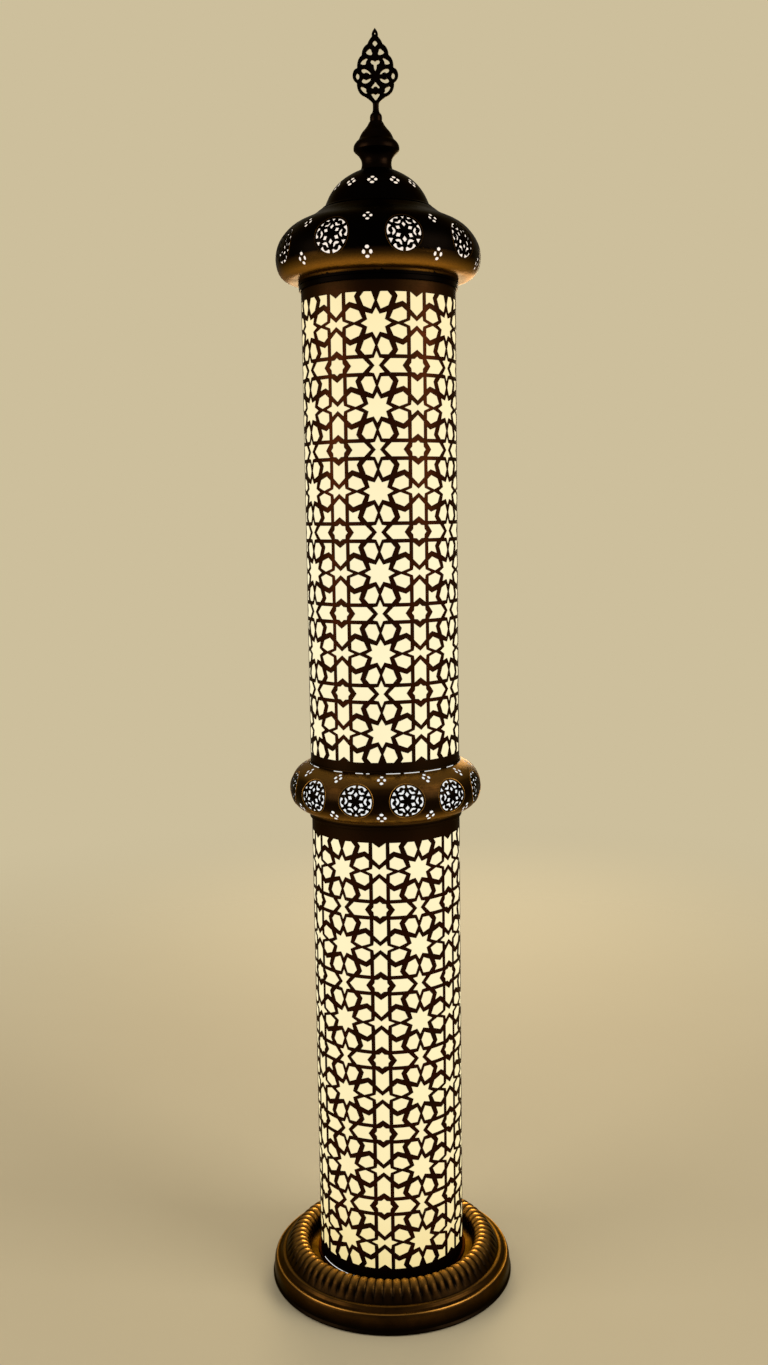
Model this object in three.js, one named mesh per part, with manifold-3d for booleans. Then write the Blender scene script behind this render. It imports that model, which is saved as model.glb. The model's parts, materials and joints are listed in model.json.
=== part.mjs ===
// A lantern floor lamp: two pierced sheet-metal tubes stacked on a weighted, fluted base, with a
// pierced ring between them, and a pierced onion cap with a turned neck and a leaf finial.
// Millimetres, +Z up. The origin is on the floor, on the lamp's axis. The front faces -Y.
import * as THREE from 'three';
import { mergeVertices } from 'three/addons/utils/BufferGeometryUtils.js';
import Module from 'manifold-3d';

const wasm = await Module();
wasm.setup();

// Fits that all pieces share
const fit = 0.3; // gap between pieces that sit in or round each other
const turnedFit = 0.5; // gap between large turned or rolled rings, facets included
const overrun = 2; // how far a cut runs past the face that it leaves
const flatness = 0.002; // edges that bend a face by less than this are merged into it

// Rubber feet and bottom plate
const footRadius = 9;
const footHeight = 3;
const footInset = 31.2; // from the plinth's side to the feet's circle
const plateThickness = 1.5;
const plateScrewRadius = 2;
const plateScrewHeadRadius = 4.2;
const plateScrewHead = 1.6;
const plateScrewLength = 7;
const plateScrewInset = 28; // from the weight's edge to the screws' circle
const bossRadius = 8;

// Cast weight
const cableSpace = 8; // between the bottom plate and the weight, for the supply lead
const ballastThickness = 15.5;
const ballastInset = 25.2; // from the plinth's side to the weight
const ballastRecessRadius = 20;
const ballastRecessDepth = 8;

// Spun base cover, whose widths add up outwards from the lower tube to the base's edge
const rimLift = 1.2; // the cover's rim hangs this far off the floor
const rimHeight = 2.3;
const rimOverhang = 1.8; // past the plinth's side
const plinthHeight = 13;
const shoulderOverhang = 3.2; // from the shoulder out to the plinth's side
const shoulderDrop = 5.2; // from the cover's floor down to the shoulder
const shoulderWidth = 8.5; // from the ledge out to the shoulder
const spunWall = 2;

// Gadrooned ring on the base cover
const fluteCount = 72;
const fluteInnerSpace = 9.6; // from the tube's seat out to the ring
const fluteWidth = 32;
const fluteOuterSpace = 2.5; // from the ring out to the ledge
const fluteCrown = 18.4; // height of the ring
const fluteDepth = 1.5;

// Lead gland in the back of the plinth
const glandBore = 3.5;
const glandBodyRadius = 4.8;
const glandFlangeRadius = 6.4;
const glandFlange = 1.3;
const glandNutWall = 1.4; // across its corners, past the gland's body
const glandNutThickness = 3;
const glandInside = 9;

// Column
const columnRadius = 6.5;
const columnBore = 4.2;
const flexSpace = 0.7; // round the flex in the column's bore
const columnAbove = 13; // how far the column stands above the top spider
const nutWall = 3.6; // across its corners, past its bore
const nutThickness = 6;
const washerWidth = 6.2;
const washerThickness = 1.5;
const spacerWall = 2.6;

// Pierced tubes and their opal liners
const tubeRadius = 90;
const sheet = 1.2;
const linerThickness = 1;
const lowerTubeLength = 560;
const upperTubeLength = 554;

// Star piercings
const starsAround = 6;
const starPitch = 91.8; // height of one pattern tile
const starMargin = 20; // least plain sheet past the last row
const starTip = 15.2;
const starWaist = 9.4;
const starPoints = 8;
const lowerFirstRow = 50.1; // lowest star row above the lower tube's foot
const upperFirstRow = 44.3;
const lowerTurn = 24; // degrees from the front towards +X
const upperTurn = -2.5;

// Spiders that hold the tubes on the column
const seatFlange = 2;
const spiderFlange = 2.5;
const flangeOverhang = 1.4; // past the tube
const spigotWall = 2;
const spigotHeight = 10;
const lipHeight = 5;
const spokeCount = 3;
const spokeWidth = 12;
const hubRadius = 16;

// Pierced ring between the tubes
const ringHeight = 62;
const ringBulge = 24.2; // past its mouths
const ringWall = 1.5;
const ringMedallions = 12;
const ringMedallionRadius = 17.5;
const ringTurn = 12.5;

// Cap
const capOverhang = 3; // past the tube
const capMouthHeight = 5.5;
const bulgeReach = 25.6; // past the cap's mouth
const bulgeHeight = 83.5;
const capWall = 1.5;
const capMedallions = 9;
const capMedallionRadius = 19.5;
const capMedallionShare = 0.473; // height of their centres in the bulge
const capTurn = 14.3;
const domeSeat = 60; // radius of the opening in the top of the bulge
const domeHeight = 46;
const beadOverhang = 5.5; // past the dome's seat
const beadInset = 3.2; // from the bead in to the dome
const beadHeight = 3;

// Turned neck, collar and leaf finial
const neckRadius = 26.4;
const neckHeight = 53;
const nippleRadius = 6;
const nippleLength = 9;
const collarRadius = 6.9;
const collarHeight = 13;
const stemRadius = 3;
const stemBore = 26; // how deep the finial's stem reaches into the neck
const stemTop = 9; // how far the stem stands above the collar
const leafLift = 7; // from the collar to the leaf's foot
const tangDepth = 6;
const leafHeight = 82.4;
const leafHalfWidth = 26.2;
const leafThickness = 2.4;
const tangHalfWidth = 1.9;

// Lamps
const bulbAboveShare = 0.5; // height of each bulb's middle in its tube
const bulbSpace = 4.5; // between the column and a bulb
const armHeight = 12;
const armRadius = 4.5;
const armCollarWall = 4.2;
const clampScrewRadius = 1.9;
const clampScrewLength = 6;
const holderFloor = 12;
const holderWall = 6.1;
const bulbFit = 0.5; // round the bulb's metal base
const bulbBaseRadius = 13.4;
const bulbBaseHeight = 27;
const bulbRadius = 29;
const bulbHeight = 82; // above its metal base

// Facets round a full turn
const wideFacets = 24;
const tubeFacets = 18;
const capFacets = 27;
const coverFacets = 36;
const turnedFacets = 16;
const smallFacets = 12;
const fineFacets = 8;
const hexFacets = 6;

// Radii in the tubes and round them, out to the base's edge
const tubeInner = tubeRadius - sheet;
const linerRadius = tubeInner - turnedFit - fit;
const linerInner = linerRadius - linerThickness;
const facetSag = tubeRadius * (1 - Math.cos(Math.PI / tubeFacets));
const spigotRadius = linerInner - turnedFit - facetSag;
const spiderFlangeRadius = tubeRadius + flangeOverhang;
const seatRadius = spiderFlangeRadius + spigotWall;
const fluteInnerRadius = seatRadius + fluteInnerSpace;
const fluteOuterRadius = fluteInnerRadius + fluteWidth;
const ledgeRadius = fluteOuterRadius + fluteOuterSpace;
const shoulderRadius = ledgeRadius + shoulderWidth;
const plinthRadius = shoulderRadius + shoulderOverhang;
const baseRadius = plinthRadius + rimOverhang;
const coverInside = (plinthRadius - spunWall) * Math.cos(Math.PI / coverFacets);
const plateRadius = coverInside - turnedFit;
const ballastRadius = plinthRadius - ballastInset;
const ringMouthRadius = spiderFlangeRadius;
const ringRadius = ringMouthRadius + ringBulge;
const capMouthRadius = tubeRadius + capOverhang;
const bulgeRadius = capMouthRadius + bulgeReach;
const beadRadius = domeSeat + beadOverhang;
const domeRadius = beadRadius - beadInset;
const columnHole = columnRadius + fit;
const nutRadius = columnHole + nutWall;
const glandNutRadius = glandBodyRadius + glandNutWall;

// Heights above the floor, from the foot up
const plateTop = footHeight + plateThickness;
const ballastBottom = plateTop + cableSpace;
const floorUnder = ballastBottom + ballastThickness;
const floorTop = floorUnder + spunWall;
const shoulderHeight = floorTop - shoulderDrop;
const lowerFoot = floorTop + seatFlange;
const lowerTop = lowerFoot + lowerTubeLength;
const ringFoot = lowerTop + spiderFlange;
const ringTop = ringFoot + ringHeight;
const upperFoot = ringTop + spiderFlange;
const upperTop = upperFoot + upperTubeLength;
const capFoot = upperTop + spiderFlange;
const domeFoot = capFoot + bulgeHeight;
const neckFoot = domeFoot + domeHeight;
const collarFoot = neckFoot + neckHeight;
const stemHigh = collarFoot + collarHeight + stemTop;
const columnFoot = ballastBottom - fit;
const columnHigh = capFoot + columnAbove;

// Finishes
const finishes = {
  brass: { color: 0x7a5a20, roughness: 0.38, metalness: 0.9 },
  bronze: { color: 0x3a2416, roughness: 0.45, metalness: 0.8 },
  opal: { color: 0xfdf2c4, roughness: 0.6, metalness: 0 },
  steel: { color: 0xa8abb0, roughness: 0.35, metalness: 1 },
  iron: { color: 0x3b3c3e, roughness: 0.8, metalness: 0.6 },
  rubber: { color: 0x1b1b1c, roughness: 0.9, metalness: 0 },
  plastic: { color: 0x23221f, roughness: 0.5, metalness: 0 },
  bulb: { color: 0xfffbee, roughness: 0.4, metalness: 0 },
};

// Turns a closed geometry into a solid whose faces point out
function solidOf(geometry) {
  const bare = geometry.index ? geometry.toNonIndexed() : geometry.clone();
  bare.deleteAttribute('normal');
  bare.deleteAttribute('uv');
  const merged = mergeVertices(bare);
  const vertProperties = new Float32Array(merged.attributes.position.array);
  const triVerts = new Uint32Array(merged.index.array);
  const corner = [new THREE.Vector3(), new THREE.Vector3(), new THREE.Vector3()];
  const kept = [];
  let volume = 0;
  for (let i = 0; i < triVerts.length; i += 3) {
    const [a, b, c] = [triVerts[i], triVerts[i + 1], triVerts[i + 2]];
    if (a === b || b === c || c === a) continue;
    kept.push(a, b, c);
    [a, b, c].forEach((vertex, j) => corner[j].fromArray(vertProperties, 3 * vertex));
    volume += corner[0].dot(corner[1].clone().cross(corner[2]));
  }
  const facing = new Uint32Array(kept);
  if (volume < 0) {
    for (let i = 0; i < facing.length; i += 3) {
      [facing[i], facing[i + 1]] = [facing[i + 1], facing[i]];
    }
  }
  const mesh = new wasm.Mesh({ numProp: 3, vertProperties, triVerts: facing });
  return new wasm.Manifold(mesh);
}

// Turns a closed [radius, height] outline round the lamp's axis
function turned(outline, facets, turn = 0) {
  const points = outline.map(([radius, height]) => new THREE.Vector2(radius, height));
  points.push(points[0].clone());
  const lathe = new THREE.LatheGeometry(points, facets);
  lathe.rotateX(Math.PI / 2);
  lathe.rotateZ(THREE.MathUtils.degToRad(turn));
  return solidOf(lathe);
}

// Turns a ring so that the middle of a facet, not a corner, lies at the given degrees
function facetTurn(turn, facets) {
  return turn + 180 / facets;
}

function band(inner, outer, low, high, facets, turn = 0) {
  return turned([[inner, low], [outer, low], [outer, high], [inner, high]], facets, turn);
}

function round(radius, low, high, facets, x = 0, y = 0) {
  const cylinder = new THREE.CylinderGeometry(radius, radius, high - low, facets);
  cylinder.rotateX(Math.PI / 2);
  cylinder.translate(x, y, (low + high) / 2);
  return solidOf(cylinder);
}

// A cylinder that lies along Y behind the lamp's axis, between two distances from it
function roundAlongY(radius, near, far, facets, height) {
  const cylinder = new THREE.CylinderGeometry(radius, radius, far - near, facets);
  cylinder.translate(0, (near + far) / 2, height);
  return solidOf(cylinder);
}

function block(width, depth, height, x, y, z) {
  const box = new THREE.BoxGeometry(width, depth, height);
  box.translate(x, y, z);
  return solidOf(box);
}

// The direction that points out of a shell's side between two points of its outline
function outward([firstRadius, firstHeight], [secondRadius, secondHeight]) {
  return new THREE.Vector2(secondHeight - firstHeight, firstRadius - secondRadius).normalize();
}

// A closed outline with an even wall, from the outer side of a shell given foot to top
const sharpestCornerShare = 0.5;
function walled(outer, wall) {
  const last = outer.length - 1;
  const inner = outer.map((point, i) => {
    const before = outward(outer[Math.max(i - 1, 0)], outer[Math.max(i, 1)]);
    const after = outward(outer[Math.min(i, last - 1)], outer[Math.min(i + 1, last)]);
    const normal = before.clone().add(after).normalize();
    const reach = wall / Math.max(normal.dot(after), sharpestCornerShare);
    return [point[0] - reach * normal.x, point[1] - reach * normal.y];
  });
  inner[0][1] = outer[0][1];
  return [...outer, ...inner.reverse()];
}

function extruded(points, thickness) {
  const shape = new THREE.Shape(points.map(([x, y]) => new THREE.Vector2(x, y)));
  return new THREE.ExtrudeGeometry(shape, { depth: thickness, bevelEnabled: false, curveSegments: 1 });
}

// A cutter that goes through a wall: its outline's first axis runs round the lamp, its second climbs
function wallCutter(points, degrees, radius, height, depth) {
  const cutter = extruded(points, depth);
  cutter.translate(0, 0, -depth / 2);
  cutter.rotateX(Math.PI / 2);
  cutter.translate(0, -radius, height);
  cutter.rotateZ(THREE.MathUtils.degToRad(degrees));
  return solidOf(cutter);
}

// A closed polygon with points at two radii in turn
function starOutline(points, tip, waist) {
  return Array.from({ length: 2 * points }, (_, i) => {
    const radius = i % 2 === 0 ? tip : waist;
    const angle = (Math.PI * i) / points;
    return [radius * Math.sin(angle), radius * Math.cos(angle)];
  });
}

function cutAll(body, cutters) {
  return wasm.Manifold.difference([body, ...cutters]).asOriginal().simplify(flatness);
}

function joinAll(solids) {
  return wasm.Manifold.union(solids);
}

const lamp = new THREE.Group();

function add(name, finish, solid) {
  const { vertProperties, triVerts, numProp } = solid.getMesh();
  const position = new THREE.BufferAttribute(new Float32Array(vertProperties), numProp);
  const geometry = new THREE.BufferGeometry();
  geometry.setAttribute('position', position);
  geometry.setIndex(new THREE.BufferAttribute(new Uint32Array(triVerts), 1));
  geometry.computeVertexNormals();
  const mesh = new THREE.Mesh(geometry, new THREE.MeshStandardMaterial(finishes[finish]));
  mesh.name = name;
  lamp.add(mesh);
}

// Hex nuts and washers on the column
function nut(name, low) {
  add(name, 'steel', cutAll(round(nutRadius, low, low + nutThickness, hexFacets), [
    round(columnHole, low - overrun, low + nutThickness + overrun, smallFacets),
  ]));
}

function washer(name, low) {
  const edge = columnHole + washerWidth;
  add(name, 'steel', band(columnHole, edge, low, low + washerThickness, smallFacets));
}

// Base
function placesRound(count, radius, firstDegrees) {
  return Array.from({ length: count }, (_, i) => {
    const angle = THREE.MathUtils.degToRad(firstDegrees + (360 * i) / count);
    return [radius * Math.cos(angle), radius * Math.sin(angle)];
  });
}

const footPlaces = placesRound(4, plinthRadius - footInset, 45);
const screwPlaces = placesRound(3, ballastRadius - plateScrewInset, 90);

footPlaces.forEach(([x, y], i) => {
  add(`foot_${i + 1}`, 'rubber', round(footRadius, 0, footHeight, smallFacets, x, y));
});

add('bottom_plate', 'steel', cutAll(
  round(plateRadius, footHeight, plateTop, wideFacets),
  screwPlaces.map(([x, y]) => (
    round(plateScrewRadius + fit, footHeight - overrun, plateTop + overrun, fineFacets, x, y)
  )),
));

const ballastDisc = turned([
  [columnHole, ballastBottom + ballastRecessDepth],
  [ballastRecessRadius, ballastBottom + ballastRecessDepth],
  [ballastRecessRadius, ballastBottom],
  [ballastRadius, ballastBottom],
  [ballastRadius, floorUnder],
  [columnHole, floorUnder],
], wideFacets);
const bosses = screwPlaces.map(([x, y]) => (
  round(bossRadius, plateTop, ballastBottom + overrun, fineFacets, x, y)
));
const bossHoles = screwPlaces.map(([x, y]) => (
  round(plateScrewRadius + fit, footHeight, footHeight + plateScrewLength + overrun, fineFacets, x, y)
));
add('ballast_weight', 'iron', cutAll(joinAll([ballastDisc, ...bosses]), bossHoles));

screwPlaces.forEach(([x, y], i) => {
  add(`plate_screw_${i + 1}`, 'steel', joinAll([
    round(plateScrewHeadRadius, footHeight - plateScrewHead, footHeight, fineFacets, x, y),
    round(
      plateScrewRadius, footHeight - plateScrewHead / 2, footHeight + plateScrewLength, fineFacets,
      x, y,
    ),
  ]));
});

const coverOuter = [
  [baseRadius, rimLift],
  [baseRadius, rimLift + rimHeight],
  [plinthRadius, rimLift + rimHeight + spunWall / 2],
  [plinthRadius, rimLift + rimHeight + spunWall / 2 + plinthHeight],
  [shoulderRadius, shoulderHeight],
  [ledgeRadius, floorTop - fit],
  [ledgeRadius - spunWall, floorTop],
  [columnHole, floorTop],
];
const coverInner = [
  [columnHole, floorUnder],
  [ledgeRadius - 2 * spunWall, floorUnder],
  [shoulderRadius - spunWall, shoulderHeight - spunWall],
  [plinthRadius - spunWall, rimLift + rimHeight + plinthHeight],
  [plinthRadius - spunWall, rimLift],
];
const glandHeight = plateTop + fit + glandNutRadius;
const glandStart = plinthRadius - glandInside;
const glandBack = plinthRadius + fit + glandFlange;
const glandNutFront = coverInside - fit;
const glandNutStart = glandNutFront - glandNutThickness;
add('base_cover', 'brass', cutAll(turned([...coverOuter, ...coverInner], coverFacets), [
  roundAlongY(glandBodyRadius + fit, glandStart, glandBack, smallFacets, glandHeight),
]));

// The gadrooned ring is joined from points: each flute is a ridge and a valley. Its section, from
// the ledge in to the seat, is given as shares of the ring's width and height
const fluteShares = [[1, 0], [0.86, 0.46], [0.62, 0.86], [0.32, 1], [0.04, 0.6], [0, 0]];
function gadroonRing() {
  const around = 2 * fluteCount;
  const positions = [];
  const ringPoint = (i, j) => {
    const angle = (2 * Math.PI * (i % around)) / around;
    const [out, up] = fluteShares[j];
    const valley = i % 2 === 0 || up === 0 ? 0 : fluteDepth;
    const radius = fluteInnerRadius + out * fluteWidth + (1 - 2 * out) * valley;
    const height = floorTop + up * (fluteCrown - valley);
    return [radius * Math.cos(angle), radius * Math.sin(angle), height];
  };
  for (let i = 0; i < around; i += 1) {
    for (let j = 0; j < fluteShares.length; j += 1) {
      const next = (j + 1) % fluteShares.length;
      const [a, b] = [ringPoint(i, j), ringPoint(i + 1, j)];
      const [c, d] = [ringPoint(i + 1, next), ringPoint(i, next)];
      positions.push(...a, ...b, ...c, ...a, ...c, ...d);
    }
  }
  const geometry = new THREE.BufferGeometry();
  geometry.setAttribute('position', new THREE.BufferAttribute(new Float32Array(positions), 3));
  return solidOf(geometry);
}
add('gadroon_ring', 'brass', gadroonRing());

add('lead_gland', 'plastic', cutAll(joinAll([
  roundAlongY(glandBodyRadius, glandStart, glandBack - glandFlange / 2, smallFacets, glandHeight),
  roundAlongY(glandFlangeRadius, glandBack - glandFlange, glandBack, smallFacets, glandHeight),
]), [
  roundAlongY(glandBore, glandStart - overrun, glandBack + overrun, smallFacets, glandHeight),
]));
add('gland_nut', 'plastic', cutAll(
  roundAlongY(glandNutRadius, glandNutStart, glandNutFront, hexFacets, glandHeight),
  [roundAlongY(glandBodyRadius + fit, glandStart, glandBack, smallFacets, glandHeight)],
));

// Column
add('column', 'steel', band(columnBore, columnRadius, columnFoot, columnHigh, smallFacets));
add('riser_flex', 'rubber', round(columnBore - flexSpace, columnFoot, upperTop, fineFacets));
washer('column_washer_bottom', ballastBottom + ballastRecessDepth - washerThickness);
nut('column_nut_bottom', ballastBottom + ballastRecessDepth - washerThickness - nutThickness);

// The seat that centres the lower tube on the base
add('shade_seat', 'bronze', turned([
  [columnHole, floorTop],
  [seatRadius, floorTop],
  [seatRadius, lowerFoot],
  [spigotRadius, lowerFoot],
  [spigotRadius, lowerFoot + spigotHeight],
  [spigotRadius - spigotWall, lowerFoot + spigotHeight],
  [spigotRadius - spigotWall, lowerFoot],
  [columnHole, lowerFoot],
], wideFacets));
nut('seat_nut', lowerFoot);

// Tubes
const starOpening = starOutline(starPoints, starTip, starWaist);

function piercedTube(foot, length, firstRow, turn) {
  const facing = facetTurn(turn, tubeFacets);
  const tube = band(tubeInner, tubeRadius, foot, foot + length, tubeFacets, facing);
  const cutters = [];
  for (let up = firstRow; up + starTip + starMargin <= length; up += starPitch) {
    for (let column = 0; column < starsAround; column += 1) {
      const degrees = turn + (360 * column) / starsAround;
      cutters.push(wallCutter(starOpening, degrees, tubeRadius, foot + up, 2 * starTip));
    }
  }
  return cutAll(tube, cutters);
}

function liner(foot, length, turn) {
  const facing = facetTurn(turn, tubeFacets);
  return band(linerInner, linerRadius, foot, foot + length, tubeFacets, facing);
}

add('lower_shade', 'bronze', piercedTube(lowerFoot, lowerTubeLength, lowerFirstRow, lowerTurn));
add('lower_liner', 'opal', liner(lowerFoot, lowerTubeLength, lowerTurn));
add('upper_shade', 'bronze', piercedTube(upperFoot, upperTubeLength, upperFirstRow, upperTurn));
add('upper_liner', 'opal', liner(upperFoot, upperTubeLength, upperTurn));

// Spiders: a flange between tube and ring, a spigot in the tube and a lip in the ring's mouth.
// They are drawn with the tube below, and turned over where it stands above
function spider(flangeFoot, tubeAbove, lipRadius) {
  const flangeTop = flangeFoot + spiderFlange;
  const side = (height) => (tubeAbove ? flangeFoot + flangeTop - height : height);
  const rim = turned([
    [spigotRadius - spigotWall, side(flangeFoot - spigotHeight)],
    [spigotRadius, side(flangeFoot - spigotHeight)],
    [spigotRadius, side(flangeFoot)],
    [spiderFlangeRadius, side(flangeFoot)],
    [spiderFlangeRadius, side(flangeTop)],
    [lipRadius, side(flangeTop)],
    [lipRadius, side(flangeTop + lipHeight)],
    [lipRadius - spigotWall, side(flangeTop + lipHeight)],
    [lipRadius - spigotWall, side(flangeTop)],
    [spigotRadius - spigotWall, side(flangeTop)],
  ], tubeFacets);
  const reach = spigotRadius - spigotWall / 2;
  const spokes = Array.from({ length: spokeCount }, (_, i) => {
    const spoke = new THREE.BoxGeometry(reach, spokeWidth, spiderFlange);
    spoke.translate(reach / 2, 0, flangeFoot + spiderFlange / 2);
    spoke.rotateZ((2 * Math.PI * i) / spokeCount + Math.PI / 2);
    return solidOf(spoke);
  });
  const hub = round(hubRadius, flangeFoot, flangeTop, smallFacets);
  return cutAll(joinAll([rim, hub, ...spokes]), [
    round(columnHole, flangeFoot - overrun, flangeTop + overrun, smallFacets),
  ]);
}

const ringLip = ringMouthRadius - ringWall - turnedFit - facetSag;
const capLip = capMouthRadius - capWall - turnedFit - facetSag;
add('lower_spider', 'bronze', spider(lowerTop, false, ringLip));
add('upper_spider', 'bronze', spider(ringTop, true, ringLip));
add('top_spider', 'bronze', spider(upperTop, false, capLip));
add('spacer_sleeve', 'steel', band(
  columnHole, columnHole + spacerWall, ringFoot, ringTop, smallFacets,
));
washer('column_washer_top', capFoot);
nut('column_nut_top', capFoot + washerThickness);

// Medallions: a six-pointed opening each, in a ring round the lamp
const medallionPoints = 6;
const medallionTipShare = 0.74;
const medallionWaistShare = 0.42;
function medallionCutters(count, turn, radius, height, size) {
  const opening = starOutline(medallionPoints, size * medallionTipShare, size * medallionWaistShare);
  return Array.from({ length: count }, (_, i) => (
    wallCutter(opening, turn + (360 * i) / count, radius, height, 2 * size)
  ));
}

// Outer side of the ring, as shares of its bulge past the mouth and of its height
const ringShares = [
  [0, 0], [0.03, 0.06], [0.33, 0.095], [0.6, 0.15], [0.87, 0.3], [1, 0.48], [0.8, 0.78],
  [0.36, 0.95], [0, 1],
];
const ringOuter = ringShares.map(([out, up]) => [
  ringMouthRadius + out * ringBulge,
  ringFoot + up * ringHeight,
]);
function ringShell() {
  const outline = walled(ringOuter, ringWall);
  outline[ringOuter.length][1] = ringTop;
  return cutAll(turned(outline, wideFacets, facetTurn(ringTurn, wideFacets)), medallionCutters(
    ringMedallions, ringTurn, ringRadius, ringFoot + ringHeight / 2, ringMedallionRadius,
  ));
}
add('middle_ring', 'brass', ringShell());

// Outer side of the cap's bulge: below its widest place as shares of its reach past the mouth,
// above it as shares of the way in to the bead, and both with shares of its height
const bellyShares = [[0.56, 0.072], [0.88, 0.17], [1, 0.32]];
const shoulderShares = [[0.1, 0.605], [0.3, 0.74], [0.695, 0.88], [0.835, 0.948]];
const bulgeOuter = [
  [capMouthRadius, capFoot],
  [capMouthRadius, capFoot + capMouthHeight],
  ...bellyShares.map(([out, up]) => [
    capMouthRadius + out * bulgeReach,
    capFoot + up * bulgeHeight,
  ]),
  ...shoulderShares.map(([inward, up]) => [
    bulgeRadius - inward * (bulgeRadius - beadRadius),
    capFoot + up * bulgeHeight,
  ]),
  [beadRadius, domeFoot],
  [domeSeat, domeFoot],
];
const bulge = turned(walled(bulgeOuter, capWall), capFacets, facetTurn(capTurn, capFacets));
add('cap_bulge', 'brass', cutAll(bulge, medallionCutters(
  capMedallions, capTurn, bulgeRadius, capFoot + capMedallionShare * bulgeHeight, capMedallionRadius,
)));

// Outer side of the dome, as shares of its radius and height
const domeShares = [
  [0.96, 0.12], [0.92, 0.276], [0.8, 0.52], [0.62, 0.76], [0.45, 0.89], [0.315, 1],
];
const domeOuter = [
  [beadRadius, domeFoot],
  [beadRadius, domeFoot + beadHeight],
  ...domeShares.map(([out, up]) => [out * domeRadius, domeFoot + up * domeHeight]),
  [nippleRadius + fit, neckFoot],
];
add('cap_dome', 'brass', turned(walled(domeOuter, capWall), wideFacets));

// Turned neck, as shares of its radius and height
const neckShares = [
  [0.7, 0], [0.65, 0.1], [0.67, 0.2], [0.82, 0.3], [1, 0.42], [0.98, 0.52], [0.78, 0.62],
  [0.67, 0.72], [0.5, 0.83], [0.39, 0.92], [0.26, 1],
];
const stemHole = stemRadius + fit;
add('cap_neck', 'brass', turned([
  [stemHole, collarFoot - stemBore],
  [0, collarFoot - stemBore],
  [0, neckFoot - nippleLength],
  [nippleRadius, neckFoot - nippleLength],
  [nippleRadius, neckFoot],
  ...neckShares.map(([out, up]) => [out * neckRadius, neckFoot + up * neckHeight]),
  [stemHole, collarFoot],
], turnedFacets));
const neckNutTop = neckFoot - capWall - turnedFit;
add('neck_nut', 'steel', cutAll(
  round(nutRadius, neckNutTop - nutThickness, neckNutTop, hexFacets),
  [round(nippleRadius + fit, neckNutTop - nutThickness - overrun, neckFoot, smallFacets)],
));
const collarShares = [[1, 0], [1, 0.35], [0.83, 0.7], [0.55, 1]];
add('neck_collar', 'brass', turned([
  [stemHole, collarFoot],
  ...collarShares.map(([out, up]) => [out * collarRadius, collarFoot + up * collarHeight]),
  [stemHole, collarFoot + collarHeight],
], smallFacets));

// Leaf finial
add('finial_stem', 'brass', cutAll(
  round(stemRadius, collarFoot - stemBore + fit, stemHigh, fineFacets),
  [block(2 * (stemRadius + overrun), leafThickness + 2 * fit, 2 * tangDepth, 0, 0, stemHigh)],
));

// Right half of the leaf's edge from its foot to its tip, as shares of its half width and height
const leafEdgeShares = [
  [0.19, 0.03], [0.41, 0.1], [0.69, 0.15], [0.84, 0.23], [0.8, 0.315], [0.97, 0.36], [1, 0.42],
  [0.93, 0.48], [0.8, 0.505], [0.8, 0.58], [0.74, 0.63], [0.6, 0.665], [0.58, 0.72], [0.5, 0.775],
  [0.33, 0.83], [0.2, 0.89], [0.11, 0.95],
];
// Lozenges cut in the leaf: place and half sizes, as shares, then the lean in degrees
const leafOpeningShares = [
  [0, 0.82, 0.09, 0.04, 0], [0.26, 0.71, 0.12, 0.037, -20], [0, 0.55, 0.15, 0.05, 0],
  [0.5, 0.58, 0.14, 0.04, -30], [0.41, 0.467, 0.2, 0.025, 20], [0.79, 0.4, 0.07, 0.04, 0],
  [0.41, 0.345, 0.2, 0.025, -20], [0, 0.284, 0.15, 0.04, 0], [0.5, 0.22, 0.14, 0.04, 30],
  [0, 0.14, 0.14, 0.05, 0],
];
const leafFoot = stemHigh - stemTop + leafLift;
const tangFoot = stemHigh - tangDepth + fit - leafFoot;
function leaf() {
  const edge = leafEdgeShares.map(([out, up]) => [out * leafHalfWidth, up * leafHeight]);
  const right = [[tangHalfWidth, tangFoot], [tangHalfWidth, 0], ...edge];
  const left = right.map(([x, y]) => [-x, y]).reverse();
  const plate = extruded([...right, [0, leafHeight], ...left], leafThickness);
  plate.translate(0, 0, -leafThickness / 2);
  const openings = leafOpeningShares.flatMap(([out, up, wide, high, lean]) => {
    const sides = out === 0 ? [1] : [1, -1];
    return sides.map((side) => {
      const [a, b] = [wide * leafHalfWidth, high * leafHeight];
      const cutter = extruded([[a, 0], [0, b], [-a, 0], [0, -b]], 2 * overrun + leafThickness);
      cutter.rotateZ(THREE.MathUtils.degToRad(-side * lean));
      cutter.translate(side * out * leafHalfWidth, up * leafHeight, -overrun - leafThickness / 2);
      return solidOf(cutter);
    });
  });
  return cutAll(solidOf(plate), openings).rotate([90, 0, 0]).translate([0, 0, leafFoot]);
}
add('finial_leaf', 'brass', leaf());

// Side of a bulb's globe, as shares of its radius and height
const bulbShares = [
  [0.52, 0.16], [0.78, 0.34], [0.96, 0.52], [1, 0.66], [0.93, 0.8], [0.72, 0.92], [0.38, 0.985],
];

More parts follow.
